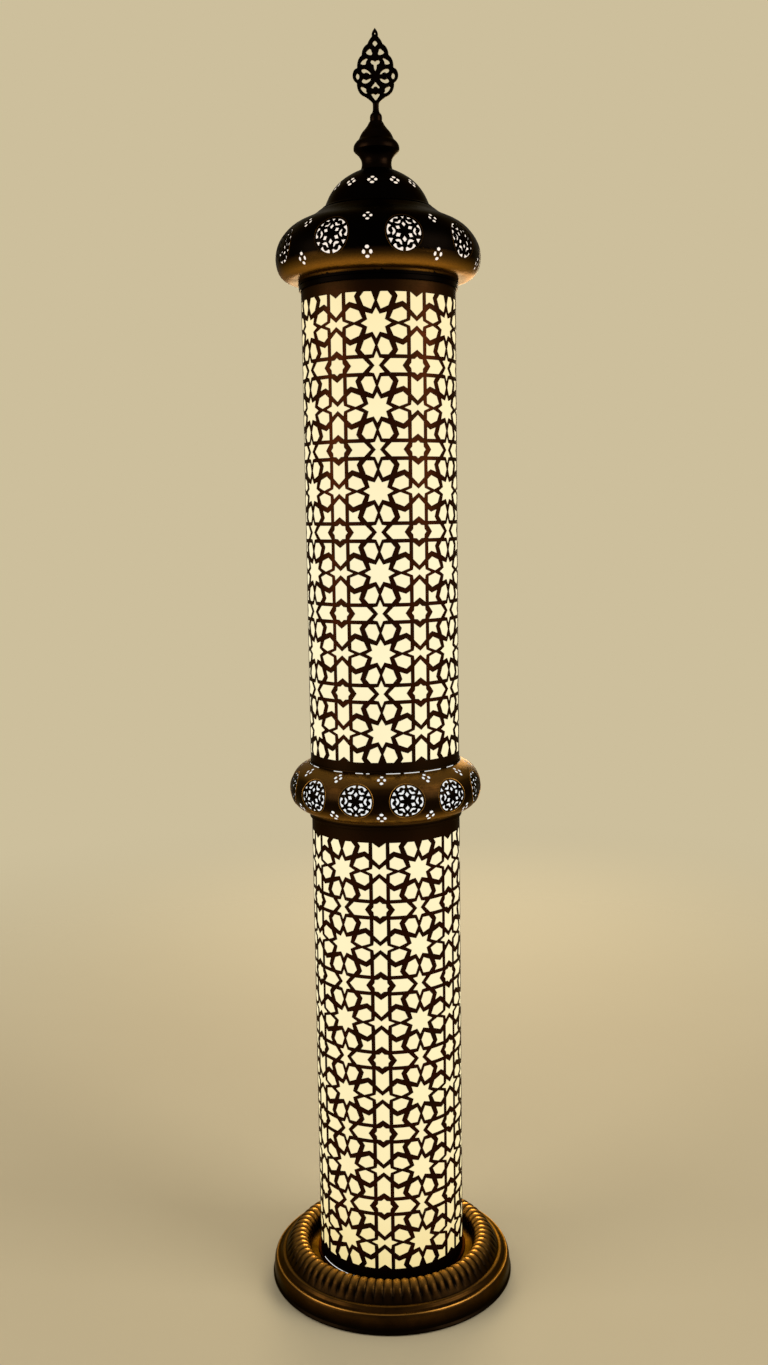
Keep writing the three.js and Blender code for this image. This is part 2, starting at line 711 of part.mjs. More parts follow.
// Lamps: an arm clamped on the column, a holder on its end and a screw-in bulb
function lampOnArm(tubeName, foot, length, side) {
  const holderHeight = holderFloor + bulbBaseHeight;
  const holderBore = bulbBaseRadius + bulbFit;
  const armReach = columnRadius + bulbSpace + bulbRadius;
  const armCollar = columnHole + armCollarWall;
  const armFoot = foot + bulbAboveShare * length - holderHeight - bulbHeight / 2;
  const armMiddle = armFoot + armHeight / 2;
  const holderFoot = armFoot + armHeight;
  const x = side * armReach;
  const arm = new THREE.CylinderGeometry(armRadius, armRadius, armReach, fineFacets);
  arm.rotateZ(Math.PI / 2);
  arm.translate(x / 2, 0, armMiddle);
  const screwStart = columnHole + fit;
  add(`${tubeName}_arm`, 'steel', cutAll(joinAll([
    round(armCollar, armFoot, holderFoot, smallFacets),
    solidOf(arm),
    round(armCollar, armFoot, holderFoot, smallFacets, x, 0),
  ]), [
    round(columnHole, armFoot - overrun, holderFoot + overrun, smallFacets),
    roundAlongY(clampScrewRadius + fit, columnRadius, armCollar + overrun, fineFacets, armMiddle),
  ]));
  add(`${tubeName}_arm_screw`, 'steel', roundAlongY(
    clampScrewRadius, screwStart, screwStart + clampScrewLength, fineFacets, armMiddle,
  ));
  const holderTop = holderFoot + holderHeight;
  add(`${tubeName}_holder`, 'plastic', cutAll(
    round(holderBore + holderWall, holderFoot, holderTop, smallFacets, x, 0),
    [round(holderBore, holderFoot + holderFloor, holderTop + overrun, smallFacets, x, 0)],
  ));
  const baseFoot = holderFoot + holderFloor + fit;
  const glassFoot = baseFoot + bulbBaseHeight;
  add(`${tubeName}_bulb_base`, 'steel', round(
    bulbBaseRadius, baseFoot, glassFoot, smallFacets, x, 0,
  ));
  const glassOutline = [
    [0, 0],
    [bulbBaseRadius, 0],
    ...bulbShares.map(([out, up]) => [out * bulbRadius, up * bulbHeight]),
    [0, bulbHeight],
  ];
  const globe = turned(glassOutline, turnedFacets);
  add(`${tubeName}_bulb_globe`, 'bulb', globe.translate([x, 0, glassFoot]));
}

lampOnArm('lower', lowerFoot, lowerTubeLength, 1);
lampOnArm('upper', upperFoot, upperTubeLength, -1);

export default lamp;
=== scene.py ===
"""The look of a lantern floor lamp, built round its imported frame.

Two pierced tubes with opal liners stand on a gadrooned base. A pierced ring sits between them, and
an onion cap with a turned neck and a leaf finial closes the top. Sizes are in millimetres in the
lamp's own frame: origin on the floor on the lamp's axis, +Z up, the front towards -Y. Meshes become
metres when a piece is finished. Angles round the lamp go from the front towards +X.
"""

import json
import logging
import math
from bisect import bisect_left
from collections.abc import Iterable, Sequence
from dataclasses import dataclass, field
from enum import Enum

import bmesh
import bpy
from mathutils import Matrix, Vector
from mathutils.geometry import interpolate_bezier

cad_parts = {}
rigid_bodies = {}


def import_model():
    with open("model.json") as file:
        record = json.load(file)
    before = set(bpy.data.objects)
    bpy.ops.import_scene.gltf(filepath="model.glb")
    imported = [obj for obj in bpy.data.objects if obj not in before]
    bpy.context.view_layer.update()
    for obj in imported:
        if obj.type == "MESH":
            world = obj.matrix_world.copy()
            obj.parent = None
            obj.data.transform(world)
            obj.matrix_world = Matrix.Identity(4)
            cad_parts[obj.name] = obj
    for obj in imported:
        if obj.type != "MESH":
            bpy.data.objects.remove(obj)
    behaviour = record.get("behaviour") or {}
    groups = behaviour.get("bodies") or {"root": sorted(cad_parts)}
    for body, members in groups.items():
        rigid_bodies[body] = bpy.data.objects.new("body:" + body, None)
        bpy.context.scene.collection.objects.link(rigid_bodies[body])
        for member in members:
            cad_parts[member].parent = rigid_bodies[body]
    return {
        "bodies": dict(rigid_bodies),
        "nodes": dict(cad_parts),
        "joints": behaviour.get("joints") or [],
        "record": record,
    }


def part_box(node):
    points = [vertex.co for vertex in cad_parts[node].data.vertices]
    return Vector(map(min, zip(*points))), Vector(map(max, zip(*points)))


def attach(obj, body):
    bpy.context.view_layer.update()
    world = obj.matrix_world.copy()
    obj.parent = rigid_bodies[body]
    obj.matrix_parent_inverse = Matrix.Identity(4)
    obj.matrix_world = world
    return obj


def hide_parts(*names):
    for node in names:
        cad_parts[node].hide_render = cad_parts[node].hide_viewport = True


log = logging.getLogger("lantern")

MM = 0.001
# Points closer than this many millimetres are one point
MERGE = 0.002
FULL_TURN = 2 * math.pi
# Edges that bend by more than this are sharp
SHARP = math.radians(35)

Point = tuple[float, float]
Colour = tuple[float, float, float, float]


class Slot(Enum):
    """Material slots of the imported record."""

    BRASS = "antique_brass"
    BRONZE = "oxidised_bronze"
    OPAL = "opal_liner"
    STEEL = "steel"
    IRON = "iron"
    RUBBER = "rubber"
    PLASTIC = "black_plastic"
    BULB = "bulb_opal"


class Body(Enum):
    """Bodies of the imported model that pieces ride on."""

    ROOT = "root"
    CAP = "cap"
    FINIAL = "finial"
    LOWER_BULB = "lower_bulb"
    UPPER_BULB = "upper_bulb"


def srgb(code: str) -> Colour:
    """Turn an sRGB hex colour into linear values.

    Args:
        code: six hex digits with a leading #.

    Returns:
        Linear red, green, blue and an alpha of one.
    """
    channels = [int(code[place:place + 2], 16) / 255 for place in (1, 3, 5)]
    linear = [c / 12.92 if c <= 0.04045 else ((c + 0.055) / 1.055) ** 2.4 for c in channels]
    return (linear[0], linear[1], linear[2], 1.0)


def per_metre(millimetres: float) -> float:
    """Return the texture scale that repeats a pattern about once in a length."""
    return 1 / (millimetres * MM)


def add_node(
    tree: bpy.types.NodeTree,
    kind: str,
    settings: dict[str, object] | None = None,
    inputs: dict[str | int, object] | None = None,
    stops: Sequence[tuple[float, Colour]] = (),
) -> bpy.types.Node:
    """Add a node with its settings, socket values and links.

    Args:
        tree: the node tree that gets the node.
        kind: the node's type name.
        settings: properties of the node.
        inputs: a value, or another node's output socket, for each input by name or place.
        stops: positions and colours of a colour ramp.

    Returns:
        The new node.
    """
    node = tree.nodes.new(kind)
    for name, value in (settings or {}).items():
        setattr(node, name, value)
    for name, value in (inputs or {}).items():
        if isinstance(value, bpy.types.NodeSocket):
            tree.links.new(value, node.inputs[name])
        else:
            node.inputs[name].default_value = value
    for place, (position, colour) in enumerate(stops):
        elements = node.color_ramp.elements
        element = elements[place] if place < len(elements) else elements.new(position)
        element.position = position
        element.color = colour
    return node


def new_material(name: str) -> tuple[bpy.types.Material, bpy.types.NodeTree]:
    """Make an empty node material.

    Args:
        name: the material's name.

    Returns:
        The material and its node tree.
    """
    material = bpy.data.materials.new(name)
    material.use_nodes = True
    material.node_tree.nodes.clear()
    return material, material.node_tree


@dataclass(frozen=True)
class AgedMetal:
    """Sheet metal with a dark patina that is rubbed through to a brighter metal.

    The patina lies in soft patches, and fine streaks run round the lamp where the metal was turned
    or rolled. Places with the wear-and-highlight attribute are brighter: real wear on high places, and
    painted highlights and painted glow where light falls. Places with the patina-and-shade attribute keep
    all of their patina: patina in hollows, and painted shade. The edge colour dims the gloss that is
    seen at a slant.
    """

    name: str
    slot: Slot
    patina: str
    metal: str
    bright: str
    edge: str
    roughness: tuple[float, float]
    patch_mm: float = 26.0
    streak_mm: float = 1.6
    grain_mm: float = 1.1
    bump_mm: float = 0.05
    showing: tuple[float, float] = (0.1, 0.8)

    def make(self) -> bpy.types.Material:
        """Build the material."""
        material, tree = new_material(self.name)
        where = add_node(tree, "ShaderNodeTexCoord").outputs["Object"]
        patches = add_node(tree, "ShaderNodeTexNoise", inputs={
            "Vector": where, "Scale": per_metre(self.patch_mm), "Detail": 5.0, "Roughness": 0.62,
        })
        flat = add_node(tree, "ShaderNodeMapping", inputs={
            "Vector": where, "Scale": (0.06, 0.06, 1.0),
        })
        streaks = add_node(tree, "ShaderNodeTexNoise", inputs={
            "Vector": flat.outputs[0], "Scale": per_metre(self.streak_mm), "Detail": 3.0,
        })
        grain = add_node(tree, "ShaderNodeTexNoise", inputs={
            "Vector": where, "Scale": per_metre(self.grain_mm), "Detail": 4.0, "Roughness": 0.7,
        })
        worn = add_node(tree, "ShaderNodeMath", {"operation": "MULTIPLY_ADD"}, {
            0: streaks.outputs[0], 1: 0.28, 2: patches.outputs[0],
        })
        fine = add_node(tree, "ShaderNodeMath", {"operation": "MULTIPLY_ADD"}, {
            0: grain.outputs[0], 1: 0.22, 2: worn.outputs[0],
        })
        least, most = self.showing
        share = add_node(tree, "ShaderNodeMapRange", inputs={
            "Value": fine.outputs[0], "From Min": 0.55, "From Max": 0.95, "To Min": least, "To Max": most,
        })
        tone = add_node(tree, "ShaderNodeMix", {"data_type": "RGBA"}, {
            "Factor": share.outputs[0], 6: srgb(self.patina), 7: srgb(self.metal),
        })
        # Darkens to the bare patina: patina in hollows, and painted shade
        patina_and_shade = add_node(tree, "ShaderNodeAttribute", {"attribute_name": "patina_and_shade"})
        aged = add_node(tree, "ShaderNodeMix", {"data_type": "RGBA"}, {
            "Factor": patina_and_shade.outputs["Fac"], 6: tone.outputs[2], 7: srgb(self.patina),
        })
        # Brightens the metal: real wear on high places, and painted highlights and painted glow
        wear_and_highlight = add_node(tree, "ShaderNodeAttribute", {"attribute_name": "wear_and_highlight"})
        broken = add_node(tree, "ShaderNodeMapRange", inputs={
            "Value": grain.outputs[0], "From Min": 0.3, "From Max": 0.6, "To Min": 0.6,
        })
        brightened = add_node(tree, "ShaderNodeMath", {"operation": "MULTIPLY", "use_clamp": True}, {
            0: wear_and_highlight.outputs["Fac"], 1: broken.outputs[0],
        })
        colour = add_node(tree, "ShaderNodeMix", {"data_type": "RGBA"}, {
            "Factor": brightened.outputs[0], 6: aged.outputs[2], 7: srgb(self.bright),
        })
        low, high = self.roughness
        rough = add_node(tree, "ShaderNodeMapRange", inputs={
            "Value": fine.outputs[0], "From Min": 0.55, "From Max": 0.95, "To Min": high, "To Max": low,
        })
        bump = add_node(tree, "ShaderNodeBump", inputs={
            "Height": fine.outputs[0], "Strength": 0.35, "Distance": self.bump_mm * MM,
        })
        shader = add_node(tree, "ShaderNodeBsdfPrincipled", inputs={
            "Base Color": colour.outputs[2], "Metallic": 1.0, "Roughness": rough.outputs[0],
            "Specular Tint": srgb(self.edge), "Normal": bump.outputs[0],
        })
        add_node(tree, "ShaderNodeOutputMaterial", inputs={"Surface": shader.outputs[0]})
        return material


@dataclass(frozen=True)
class LitSheet:
    """Opal plastic film with light behind it, or a sheet whose painted glow stands for the light of the
    bulbs.

    The eye sees an even cream glow that warms towards the ends of the lamp, with a faint cloudiness.
    """

    name: str
    slot: Slot
    glow: tuple[tuple[float, str], ...]
    base: str
    strength: float
    cloud_mm: float = 60.0

    def make(self) -> bpy.types.Material:
        """Build the material."""
        material, tree = new_material(self.name)
        where = add_node(tree, "ShaderNodeTexCoord").outputs["Object"]
        height = add_node(tree, "ShaderNodeSeparateXYZ", inputs={0: where}).outputs["Z"]
        first, last = self.glow[0][0] * MM, self.glow[-1][0] * MM
        share = add_node(tree, "ShaderNodeMapRange", inputs={
            "Value": height, "From Min": first, "From Max": last,
        })
        colour = add_node(tree, "ShaderNodeValToRGB", inputs={0: share.outputs[0]}, stops=[
            ((level * MM - first) / (last - first), srgb(code)) for level, code in self.glow
        ])
        clouds = add_node(tree, "ShaderNodeTexNoise", inputs={
            "Vector": where, "Scale": per_metre(self.cloud_mm), "Detail": 2.0,
        })
        level = add_node(tree, "ShaderNodeMapRange", inputs={
            "Value": clouds.outputs[0], "From Min": 0.3, "From Max": 0.7,
            "To Min": 0.96 * self.strength, "To Max": self.strength,
        })
        shader = add_node(tree, "ShaderNodeBsdfPrincipled", inputs={
            "Base Color": srgb(self.base), "Roughness": 0.6, "Specular IOR Level": 0.2,
            "Emission Color": colour.outputs[0], "Emission Strength": level.outputs[0],
        })
        add_node(tree, "ShaderNodeOutputMaterial", inputs={"Surface": shader.outputs[0]})
        return material


@dataclass(frozen=True)
class PlainStock:
    """Plated steel, cast iron, rubber or moulded plastic, mottled at its own grain."""

    name: str
    slot: Slot
    light: str
    dark: str
    metallic: float
    roughness: tuple[float, float]
    grain_mm: float
    bump_mm: float
    glow: str = "#000000"
    strength: float = 0.0

    def make(self) -> bpy.types.Material:
        """Build the material."""
        material, tree = new_material(self.name)
        where = add_node(tree, "ShaderNodeTexCoord").outputs["Object"]
        grain = add_node(tree, "ShaderNodeTexNoise", inputs={
            "Vector": where, "Scale": per_metre(self.grain_mm), "Detail": 6.0, "Roughness": 0.6,
        }).outputs[0]
        tone = add_node(tree, "ShaderNodeValToRGB", inputs={0: grain}, stops=[
            (0.32, srgb(self.dark)), (0.7, srgb(self.light)),
        ])
        low, high = self.roughness
        rough = add_node(tree, "ShaderNodeMapRange", inputs={
            "Value": grain, "From Min": 0.3, "From Max": 0.7, "To Min": low, "To Max": high,
        })
        bump = add_node(tree, "ShaderNodeBump", inputs={
            "Height": grain, "Strength": 0.4, "Distance": self.bump_mm * MM,
        })
        shader = add_node(tree, "ShaderNodeBsdfPrincipled", inputs={
            "Base Color": tone.outputs[0], "Metallic": self.metallic, "Roughness": rough.outputs[0],
            "Normal": bump.outputs[0], "Emission Color": srgb(self.glow),
            "Emission Strength": self.strength,
        })
        add_node(tree, "ShaderNodeOutputMaterial", inputs={"Surface": shader.outputs[0]})
        return material


# Pressed and spun brass, chemically darkened, waxed and rubbed back on its high places
AGED_BRASS = AgedMetal(
    "aged_brass_sheet", Slot.BRASS, "#100a05", "#604018", "#f2b256", "#cbc3b4", (0.26, 0.42),
    showing=(0.25, 0.75),
)
# The same brass darkened all over as painted shade, for the cap, its neck, the leaf finial and the top
# spider
SHADED_BRASS = AgedMetal(
    "shaded_brass_sheet", Slot.BRASS, "#060403", "#1a1009", "#c88c36", "#c3bdb2", (0.3, 0.42),
)
# Rolled sheet for the tubes, oxidised to a dark red-brown, with the sheen of its wax
OXIDISED_BRONZE = AgedMetal(
    "oxidised_bronze_sheet", Slot.BRONZE, "#231608", "#411a0a", "#4a2f18", "#c3bdb2", (0.4, 0.54),
    patch_mm=34.0, showing=(0.2, 0.8),
)
# Opal film of the tubes, lit from within: cream in the middle, warmer at the ends
LIT_OPAL = LitSheet(
    "lit_opal_film", Slot.OPAL,
    ((32.0, "#f0dc9a"), (150.0, "#fdf0bd"), (420.0, "#fff6cb"), (900.0, "#fff8d2"), (1213.0, "#fbecb8")),
    "#8d7c55", 0.86,
)
# Painted glow behind the ring's and the cap's piercings and in the light gaps: a glowing sheet that stands
# for the cooler light of the bulbs inside
COOL_BULB_GLOW = LitSheet(
    "cool_bulb_glow_sheet", Slot.OPAL,
    ((590.0, "#f8f9f8"), (625.0, "#eff2f3"), (656.0, "#dde2e4")), "#8b8d8e", 0.92, cloud_mm=18.0,
)
# The same painted bulb glow behind the cap's piercings, warmer
WARM_BULB_GLOW = LitSheet(
    "warm_bulb_glow_sheet", Slot.OPAL,
    ((1221.0, "#fff3ea"), (1260.0, "#fff1e2"), (1345.0, "#f4e3cf")), "#8d8880", 0.9, cloud_mm=18.0,
)
# Zinc plated steel: pale grey with a fine spangle
PLATED_STEEL = PlainStock(
    "zinc_plated_steel", Slot.STEEL, "#b4b8bb", "#8b8f93", 1.0, (0.28, 0.42), 2.4, 0.02,
)
# Raw sand casting: dark grey with a coarse skin
CAST_IRON = PlainStock(
    "raw_cast_iron", Slot.IRON, "#4a4b4d", "#2b2b2d", 0.7, (0.62, 0.8), 2.0, 0.25,
)
# Moulded rubber: near black and dull
FOOT_RUBBER = PlainStock(
    "moulded_rubber", Slot.RUBBER, "#242425", "#161617", 0.0, (0.7, 0.85), 1.2, 0.05,
)
# Moulded nylon: near black with a faint spark-eroded grain
BLACK_NYLON = PlainStock(
    "moulded_black_nylon", Slot.PLASTIC, "#2a2927", "#1b1a19", 0.0, (0.42, 0.55), 0.9, 0.03,
)
# Frosted polycarbonate of the bulbs, lit
LIT_BULB = PlainStock(
    "frosted_polycarbonate", Slot.BULB, "#e8e4d8", "#dfdacb", 0.0, (0.35, 0.45), 8.0, 0.01,
    glow="#fff4dc", strength=0.8,
)

Finish = AgedMetal | LitSheet | PlainStock


@dataclass
class Workshop:
    """Turns shaped meshes into finished pieces, and keeps one material for each finish."""

    materials: dict[str, bpy.types.Material] = field(default_factory=dict)

    def material(self, finish: Finish) -> bpy.types.Material:
        """Return the finish's material, made the first time it is asked for."""
        if finish.name not in self.materials:
            self.materials[finish.name] = finish.make()
        return self.materials[finish.name]

    def finish(
        self,
        name: str,
        shape: bmesh.types.BMesh,
        finish: Finish,
        body: Body,
        replaced: Sequence[str] = (),
        crease: float = 32.0,
    ) -> bpy.types.Object:
        """Make a scene object of a shape in millimetres and give it to the frame.

        Args:
            name: the piece's name.
            shape: its mesh, which is used up.
            finish: its material.
            body: the body that it moves with.
            replaced: CAD nodes that it stands for.
            crease: the angle in degrees past which an edge is drawn sharp.

        Returns:
            The finished piece.
        """
        bmesh.ops.scale(shape, vec=(MM, MM, MM), verts=shape.verts)
        mesh = bpy.data.meshes.new(name)
        shape.to_mesh(mesh)
        shape.free()
        mesh.polygons.foreach_set("use_smooth", [True] * len(mesh.polygons))
        mesh.set_sharp_from_angle(angle=math.radians(crease))
        mesh.materials.append(self.material(finish))
        piece = bpy.data.objects.new(name, mesh)
        bpy.context.collection.objects.link(piece)
        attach(piece, body.value)
        if replaced:
            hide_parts(*replaced)
        log.info("%s: %d faces", name, len(mesh.polygons))
        return piece

    def dress(self, frame: dict, nodes: Iterable[str], finish: Finish) -> None:
        """Give CAD nodes that stay as they are their material."""
        for name in nodes:
            materials = frame["nodes"][name].data.materials
            materials.clear()
            materials.append(self.material(finish))


@dataclass(frozen=True)
class Span:
    """How high a CAD node stands, in millimetres."""

    foot: float
    top: float

    @classmethod
    def of(cls, node: str) -> "Span":
        """Read the node's heights from the frame."""
        low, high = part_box(node)
        return cls(low[2] / MM, high[2] / MM)

    def at(self, share: float) -> float:
        """Return the height at a share of the way up."""
        return self.foot + share * (self.top - self.foot)


def smooth_run(points: Sequence[Point], steps: int, closed: bool = False) -> list[Point]:
    """Lay a smooth curve through points.

    Args:
        points: the points that the curve passes through.
        steps: the number of stretches between two of them.
        closed: whether the curve comes back to its first point.

    Returns:
        Points along the curve, without the last one where it is closed.
    """
    count = len(points)
    spots = [Vector((x, y, 0)) for x, y in points]

    def spot(place: int) -> Vector:
        """Return a point by its place, or the nearest one past an open end."""
        return spots[place % count] if closed else spots[min(max(place, 0), count - 1)]

    curve: list[Point] = []
    for place in range(count if closed else count - 1):
        before, start, end, after = (spot(place + step) for step in (-1, 0, 1, 2))
        reach = (end - start).length
        lead = (end - before).normalized() * reach / 3
        trail = (after - start).normalized() * reach / 3
        stretch = interpolate_bezier(start, start + lead, end - trail, end, steps + 1)
        curve.extend((p.x, p.y) for p in stretch[:-1])
    if not closed:
        curve.append(points[-1])
    return curve


@dataclass(frozen=True)
class Profile:
    """Outer side of a turned wall, from foot to top, as smooth runs that meet at corners."""

    runs: tuple[tuple[Point, ...], ...]
    steps: int = 3

    def points(self) -> list[Point]:
        """Return radius and height along the whole profile."""
        line: list[Point] = [self.runs[0][0]]
        for run in self.runs:
            line.extend(smooth_run(run, self.steps)[1:])
        return line


class TurnedWall:
    """Carries a flat sheet onto a turned wall: x runs round the lamp, y up the wall, z outwards."""

    def __init__(self, profile: Profile, gauge_radius: float) -> None:
        """Measure the profile.

        Args:
            profile: the wall's outer side.
            gauge_radius: the radius at which a millimetre of sheet is a millimetre round the lamp.
        """
        self.gauge = gauge_radius
        self.line = [Vector(point) for point in profile.points()]
        self.reach = [0.0]
        for before, after in zip(self.line, self.line[1:]):
            self.reach.append(self.reach[-1] + (after - before).length)
        sides = [(after - before).normalized() for before, after in zip(self.line, self.line[1:])]
        faces = [Vector((side.y, -side.x)) for side in sides]
        self.outward = [faces[0]]
        self.outward += [(a + b).normalized() for a, b in zip(faces, faces[1:])]
        self.outward.append(faces[-1])

    @property
    def girth(self) -> float:
        """Length of the sheet that goes once round."""
        return FULL_TURN * self.gauge

    @property
    def length(self) -> float:
        """Length of the profile."""
        return self.reach[-1]

    def along(self, height: float) -> float:
        """Return how far up the sheet a height above the floor is, on the wall's upper run."""
        for place in range(len(self.line) - 1):
            low, high = self.line[place].y, self.line[place + 1].y
            if low <= height <= high and high > low:
                share = (height - low) / (high - low)
                return self.reach[place] + share * (self.reach[place + 1] - self.reach[place])
        return self.length

    def place(self, across: float, up: float, out: float) -> Vector:
        """Carry one point of the sheet onto the wall.

        Args:
            across: distance round the lamp from the front, at the gauge radius.
            up: distance up the profile.
            out: distance outwards from the wall's outer side.

        Returns:
            The point in the lamp's frame.
        """
        up = min(max(up, 0.0), self.length)
        place = min(max(bisect_left(self.reach, up), 1), len(self.reach) - 1)
        start, end = self.reach[place - 1], self.reach[place]
        share = (up - start) / (end - start)
        spot = self.line[place - 1].lerp(self.line[place], share)
        normal = self.outward[place - 1].lerp(self.outward[place], share).normalized()
        radius, height = spot + out * normal
        angle = across / self.gauge
        return Vector((radius * math.sin(angle), -radius * math.cos(angle), height))

    def carry(self, sheet: bmesh.types.BMesh) -> None:
        """Carry all of a sheet's points onto the wall."""
        for vert in sheet.verts:
            vert.co = self.place(*vert.co)

    def wall(self, sheet: bmesh.types.BMesh, thickness: float) -> None:
        """Carry a flat sheet that goes once round onto the wall, and give it its thickness.

        Args:
            sheet: the flat sheet, which becomes the closed wall.
            thickness: the wall's thickness, inwards.
        """
        across = sheet.verts.layers.float.new("across")
        up = sheet.verts.layers.float.new("up")
        for vert in sheet.verts:
            vert[across], vert[up] = vert.co.x, vert.co.y
            vert.co = self.place(vert.co.x, vert.co.y, 0.0)
        bmesh.ops.remove_doubles(sheet, verts=sheet.verts, dist=MERGE)
        for vert in second_side(sheet):
            vert.co = self.place(vert[across], vert[up], -thickness)
        bmesh.ops.recalc_face_normals(sheet, faces=sheet.faces)
        for name in ("across", "up"):
            sheet.verts.layers.float.remove(sheet.verts.layers.float[name])


def second_side(sheet: bmesh.types.BMesh) -> list[bmesh.types.BMVert]:
    """Extrude all of a sheet's faces without moving them, and return the new side's points."""
    copied = bmesh.ops.extrude_face_region(sheet, geom=sheet.faces[:], use_keep_orig=True)
    return [item for item in copied["geom"] if isinstance(item, bmesh.types.BMVert)]


def add_loop(shape: bmesh.types.BMesh, points: Sequence[Point]) -> list[bmesh.types.BMEdge]:
    """Add a closed loop of edges in the sheet's plane.

    Args:
        shape: the mesh that gets the loop.
        points: its corners in turn.

    Returns:
        The loop's edges.
    """
    verts = [shape.verts.new((x, y, 0.0)) for x, y in points]
    return [shape.edges.new((vert, verts[place - 1])) for place, vert in enumerate(verts)]


def pierced_plate(outline: Sequence[Point], holes: Iterable[Sequence[Point]]) -> bmesh.types.BMesh:
    """Fill an outline, leaving its holes open.

    Args:
        outline: corners of the plate.
        holes: corners of each hole.

    Returns:
        The flat plate, which faces +Z.
    """
    shape = bmesh.new()
    edges = add_loop(shape, outline)
    for hole in holes:
        edges += add_loop(shape, hole)
    bmesh.ops.triangle_fill(shape, use_beauty=True, edges=edges, normal=(0, 0, 1))
    for face in shape.faces:
        if face.normal.z < 0:
            face.normal_flip()
    return shape


def stamp(target: bmesh.types.BMesh, source: bmesh.types.BMesh, move: Matrix) -> None:
    """Copy a shape into another one, moved, and turned right side out where it is mirrored."""
    mesh = bpy.data.meshes.new("stamp")
    source.to_mesh(mesh)
    mesh.transform(move)
    if move.determinant() < 0:
        mesh.flip_normals()
    target.from_mesh(mesh)
    bpy.data.meshes.remove(mesh)


def cut_across(shape: bmesh.types.BMesh, axis: int, places: Iterable[float]) -> None:
    """Cut a flat shape along lines so that it can bend there.

    Args:
        shape: the shape to cut.
        axis: 0 for lines of one x, 1 for lines of one y.
        places: where the lines lie.
    """
    normal = (1, 0, 0) if axis == 0 else (0, 1, 0)
    for place in places:
        spot = tuple(place * part for part in normal)
        geometry = shape.verts[:] + shape.edges[:] + shape.faces[:]
        bmesh.ops.bisect_plane(shape, geom=geometry, dist=1e-4, plane_co=spot, plane_no=normal)


def even_places(start: float, end: float, longest: float) -> list[float]:
    """Return the places that cut a stretch into even parts no longer than a given length."""
    parts = max(1, math.ceil((end - start) / longest))
    return [start + (end - start) * part / parts for part in range(1, parts)]


def turned(outline: Sequence[Point], facets: int) -> bmesh.types.BMesh:
    """Spin an outline of radius and height once round the lamp's axis.

    Args:
        outline: the outline in turn, closed unless it starts and ends on the axis.
        facets: the number of facets round.

    Returns:
        The closed turned shape.
    """
    shape = bmesh.new()
    verts = [shape.verts.new((radius, 0.0, height)) for radius, height in outline]
    edges = [shape.edges.new(pair) for pair in zip(verts, verts[1:])]
    if outline[0][0] > MERGE or outline[-1][0] > MERGE:
        edges.append(shape.edges.new((verts[-1], verts[0])))
    bmesh.ops.spin(
        shape, geom=verts + edges, cent=(0, 0, 0), axis=(0, 0, 1), angle=FULL_TURN, steps=facets,
        use_merge=True,
    )
    bmesh.ops.remove_doubles(shape, verts=shape.verts, dist=MERGE)
    bmesh.ops.dissolve_degenerate(shape, dist=MERGE / 2, edges=shape.edges)
    bmesh.ops.recalc_face_normals(shape, faces=shape.faces)
    return shape


def arc_strip(section: Sequence[Point], start: float, end: float) -> bmesh.types.BMesh:
    """Sweep a small section part of the way round the lamp.

    Args:
        section: its corners, as radius and height.
        start: where it starts, in degrees from the front.
        end: where it ends.

    Returns:
        The closed strip.
    """
    shape = bmesh.new()
    shape.faces.new([shape.verts.new((radius, 0.0, height)) for radius, height in section])
    turn = Matrix.Rotation(math.radians(start - 90), 4, "Z")
    bmesh.ops.transform(shape, matrix=turn, verts=shape.verts)
    bmesh.ops.spin(
        shape, geom=shape.faces[:], cent=(0, 0, 0), axis=(0, 0, 1), angle=math.radians(end - start),
        steps=max(2, math.ceil((end - start) / 3)),
    )
    bmesh.ops.holes_fill(shape, edges=[edge for edge in shape.edges if edge.is_boundary])
    bmesh.ops.recalc_face_normals(shape, faces=shape.faces)
    return shape


def shade_by_height(shape: bmesh.types.BMesh, name: str, stops: Sequence[Point]) -> None:
    """Raise a vertex attribute to a level that depends on the height.

    Args:
        shape: the shape, in millimetres.
        name: the attribute's name.
        stops: rising heights, each with its level.
    """
    layers = shape.verts.layers.float
    layer = layers.get(name) or layers.new(name)
    heights = [height for height, _ in stops]
    for vert in shape.verts:
        place = min(max(bisect_left(heights, vert.co.z), 1), len(stops) - 1)
        (low, start), (high, end) = stops[place - 1], stops[place]
        share = min(max((vert.co.z - low) / (high - low), 0.0), 1.0)
        vert[layer] = max(vert[layer], start + share * (end - start))


def round_edges(
    shape: bmesh.types.BMesh, edges: Sequence[bmesh.types.BMEdge], width: float,
) -> None:
    """Round edges with two facets.

    Args:
        shape: the shape.
        edges: the edges to round.
        width: how far the rounding reaches from an edge.
    """
    bmesh.ops.bevel(
        shape, geom=edges, offset=width, offset_type="OFFSET", segments=2, profile=0.5,
        affect="EDGES", material=-1, clamp_overlap=True,
    )


def circle(centre: Point, size: Point, corners: int, turn: float = 0.0) -> list[Point]:
    """Return the corners of a circle or oval.

    Args:
        centre: its middle.
        size: half its width and half its height.
        corners: how many corners it gets.
        turn: how far it is turned, in radians.

    Returns:
        Its corners in turn.
    """
    points = []
    for corner in range(corners):
        angle = FULL_TURN * corner / corners
        x, y = size[0] * math.cos(angle), size[1] * math.sin(angle)
        points.append((
            centre[0] + x * math.cos(turn) - y * math.sin(turn),
            centre[1] + x * math.sin(turn) + y * math.cos(turn),
        ))
    return points


